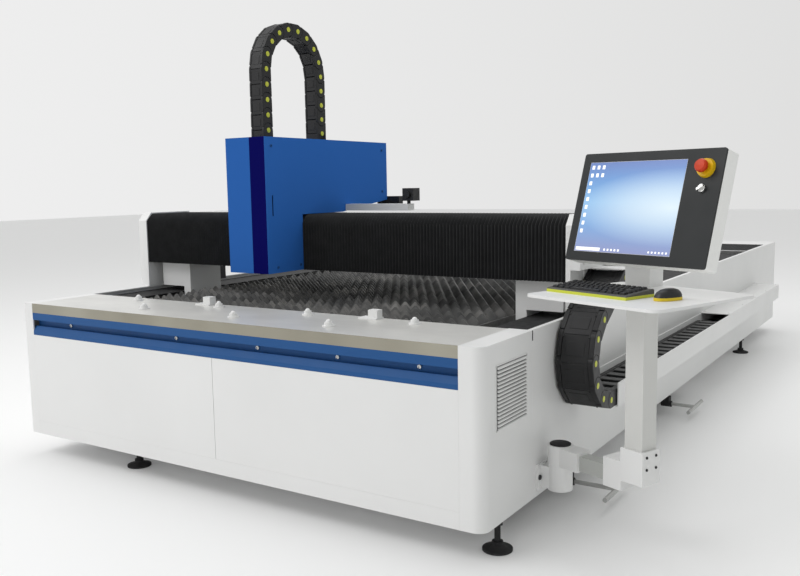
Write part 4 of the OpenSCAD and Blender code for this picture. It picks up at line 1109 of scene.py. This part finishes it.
screws("end_cover_screws", "gantry", white, machine, RIGHT, 6, [
    (BEAM_X1 + END_COVER_T, y, z) for y in (GANTRY_Y + 30, BEAM_BACK - 14)
    for z in (BEAM_Z + 72, BELLOWS_TOP - 60)
])
LOW_SCREW_Z = COVER_Z + 24
TOP_SCREW_Z = COVER_TOP - 37
REAR_SCREW_Y = 1310
screws("cover_screws", "carriage", blue, machine, RIGHT, 6, [
    (COVER_X1, COVER_Y + 60, LOW_SCREW_Z), (COVER_X1, GANTRY_Y - 20, LOW_SCREW_Z),
    (COVER_X1, COVER_Y + 40, TOP_SCREW_Z), (COVER_X1, REAR_SCREW_Y, TOP_SCREW_Z),
    (COVER_X1, REAR_SCREW_Y, TOP_SCREW_Z - 200),
])
SLEEVE_WALL = 9
screws("sleeve_bolts", "console", black_metal, console, RIGHT, 4.5, [
    (COLUMN_S / 2 + SLEEVE_WALL, v, SLEEVE_Z + z) for v in (-22, 22) for z in (50, 88)
])

# Black cap on the console's pivot
PIVOT_CAP = [(0, 0), (36, 0), (36, 3), (33, 5), (0, 5.5)]
shape = Shape()
shape.add(*lathe(PIVOT_CAP, 40), machine @ Matrix.Translation((DRUM_X, DRUM_Y, DRUM_TOP)))
cap = shape.build("pivot_cap", [rubber])
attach(cap, "console")

# Dark strip that stands for the painted shade in the slit of the seam behind the end cap
STRIP_SIZE = (2.4, 4, 34)
shape = Shape()
shape.add(*block((BASE_W + 0.6, CAP_L, TABLE_Z - 18), STRIP_SIZE, 0.5), machine)
strip = shape.build("seam_shade_strip", [rubber])
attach(strip, "base")

# Floor, light and camera
FLOOR_HALF = 30
floor_mesh = bpy.data.meshes.new("floor")
floor_corners = [(sx * FLOOR_HALF, sy * FLOOR_HALF, 0) for sx, sy in SQUARE]
floor_mesh.from_pydata(floor_corners, [], [(0, 1, 2, 3)])
floor = bpy.data.objects.new("floor", floor_mesh)
bpy.context.collection.objects.link(floor)
pale_floor = surface("floor_paint", (0.86, 0.86, 0.86), 0.7, emission_strength=0.05)
floor_mesh.materials.append(pale_floor)
floor.location.z = -0.001

scene = bpy.context.scene
scene.view_settings.view_transform = "Standard"
world = bpy.data.worlds.new("studio")
world.use_nodes = True
sky_light = world.node_tree.nodes["Background"]
heading = node(world, "ShaderNodeTexCoord").outputs["Generated"]
sideways = node(world, "ShaderNodeSeparateXYZ", None, {"Vector": heading}).outputs["X"]
walls = ramp(world, rescale(world, sideways, -1.0, 1.0), [
    (0.0, (1, 1, 1)), (0.5, (0.82, 0.82, 0.815)), (1.0, (0.48, 0.50, 0.485)),
])
world.node_tree.links.new(walls, sky_light.inputs["Color"])
sky_light.inputs["Strength"].default_value = 0.88
scene.world = world


def lamp(name, place, target, size, power):
    """Area lamp that points at a target; places in metres in the row frame."""
    light = bpy.data.lights.new(name, "AREA")
    light.shape = "RECTANGLE"
    light.size, light.size_y = size
    light.energy = power
    obj = bpy.data.objects.new(name, light)
    obj.location = place
    obj.rotation_euler = (Vector(target) - Vector(place)).to_track_quat("-Z", "Y").to_euler()
    bpy.context.collection.objects.link(obj)


lamp("key", (-3.0, -5.5, 5.5), (0, -0.5, 0.6), (5.0, 3.0), 140)
lamp("fill", (6.0, -2.0, 4.0), (0.5, 0, 0.5), (4.0, 4.0), 5)
lamp("top", (0.0, 1.0, 6.5), (0, 0, 0), (6.0, 6.0), 110)

EYE = (3404.3, -2216.1, 1160.3)
EYE_FORWARD = Vector((-0.5416, 0.8321, -0.1197))
EYE_RIGHT = Vector((0.8391, 0.5436, -0.0178))
camera = bpy.data.cameras.new("camera")
camera.sensor_width = 36
camera.lens = 38.52
view = bpy.data.objects.new("camera", camera)
bpy.context.collection.objects.link(view)
turn = Matrix((EYE_RIGHT, EYE_RIGHT.cross(EYE_FORWARD), -EYE_FORWARD)).transposed().to_4x4()
view.matrix_world = Matrix.Translation(at(*EYE)) @ turn
scene.camera = view
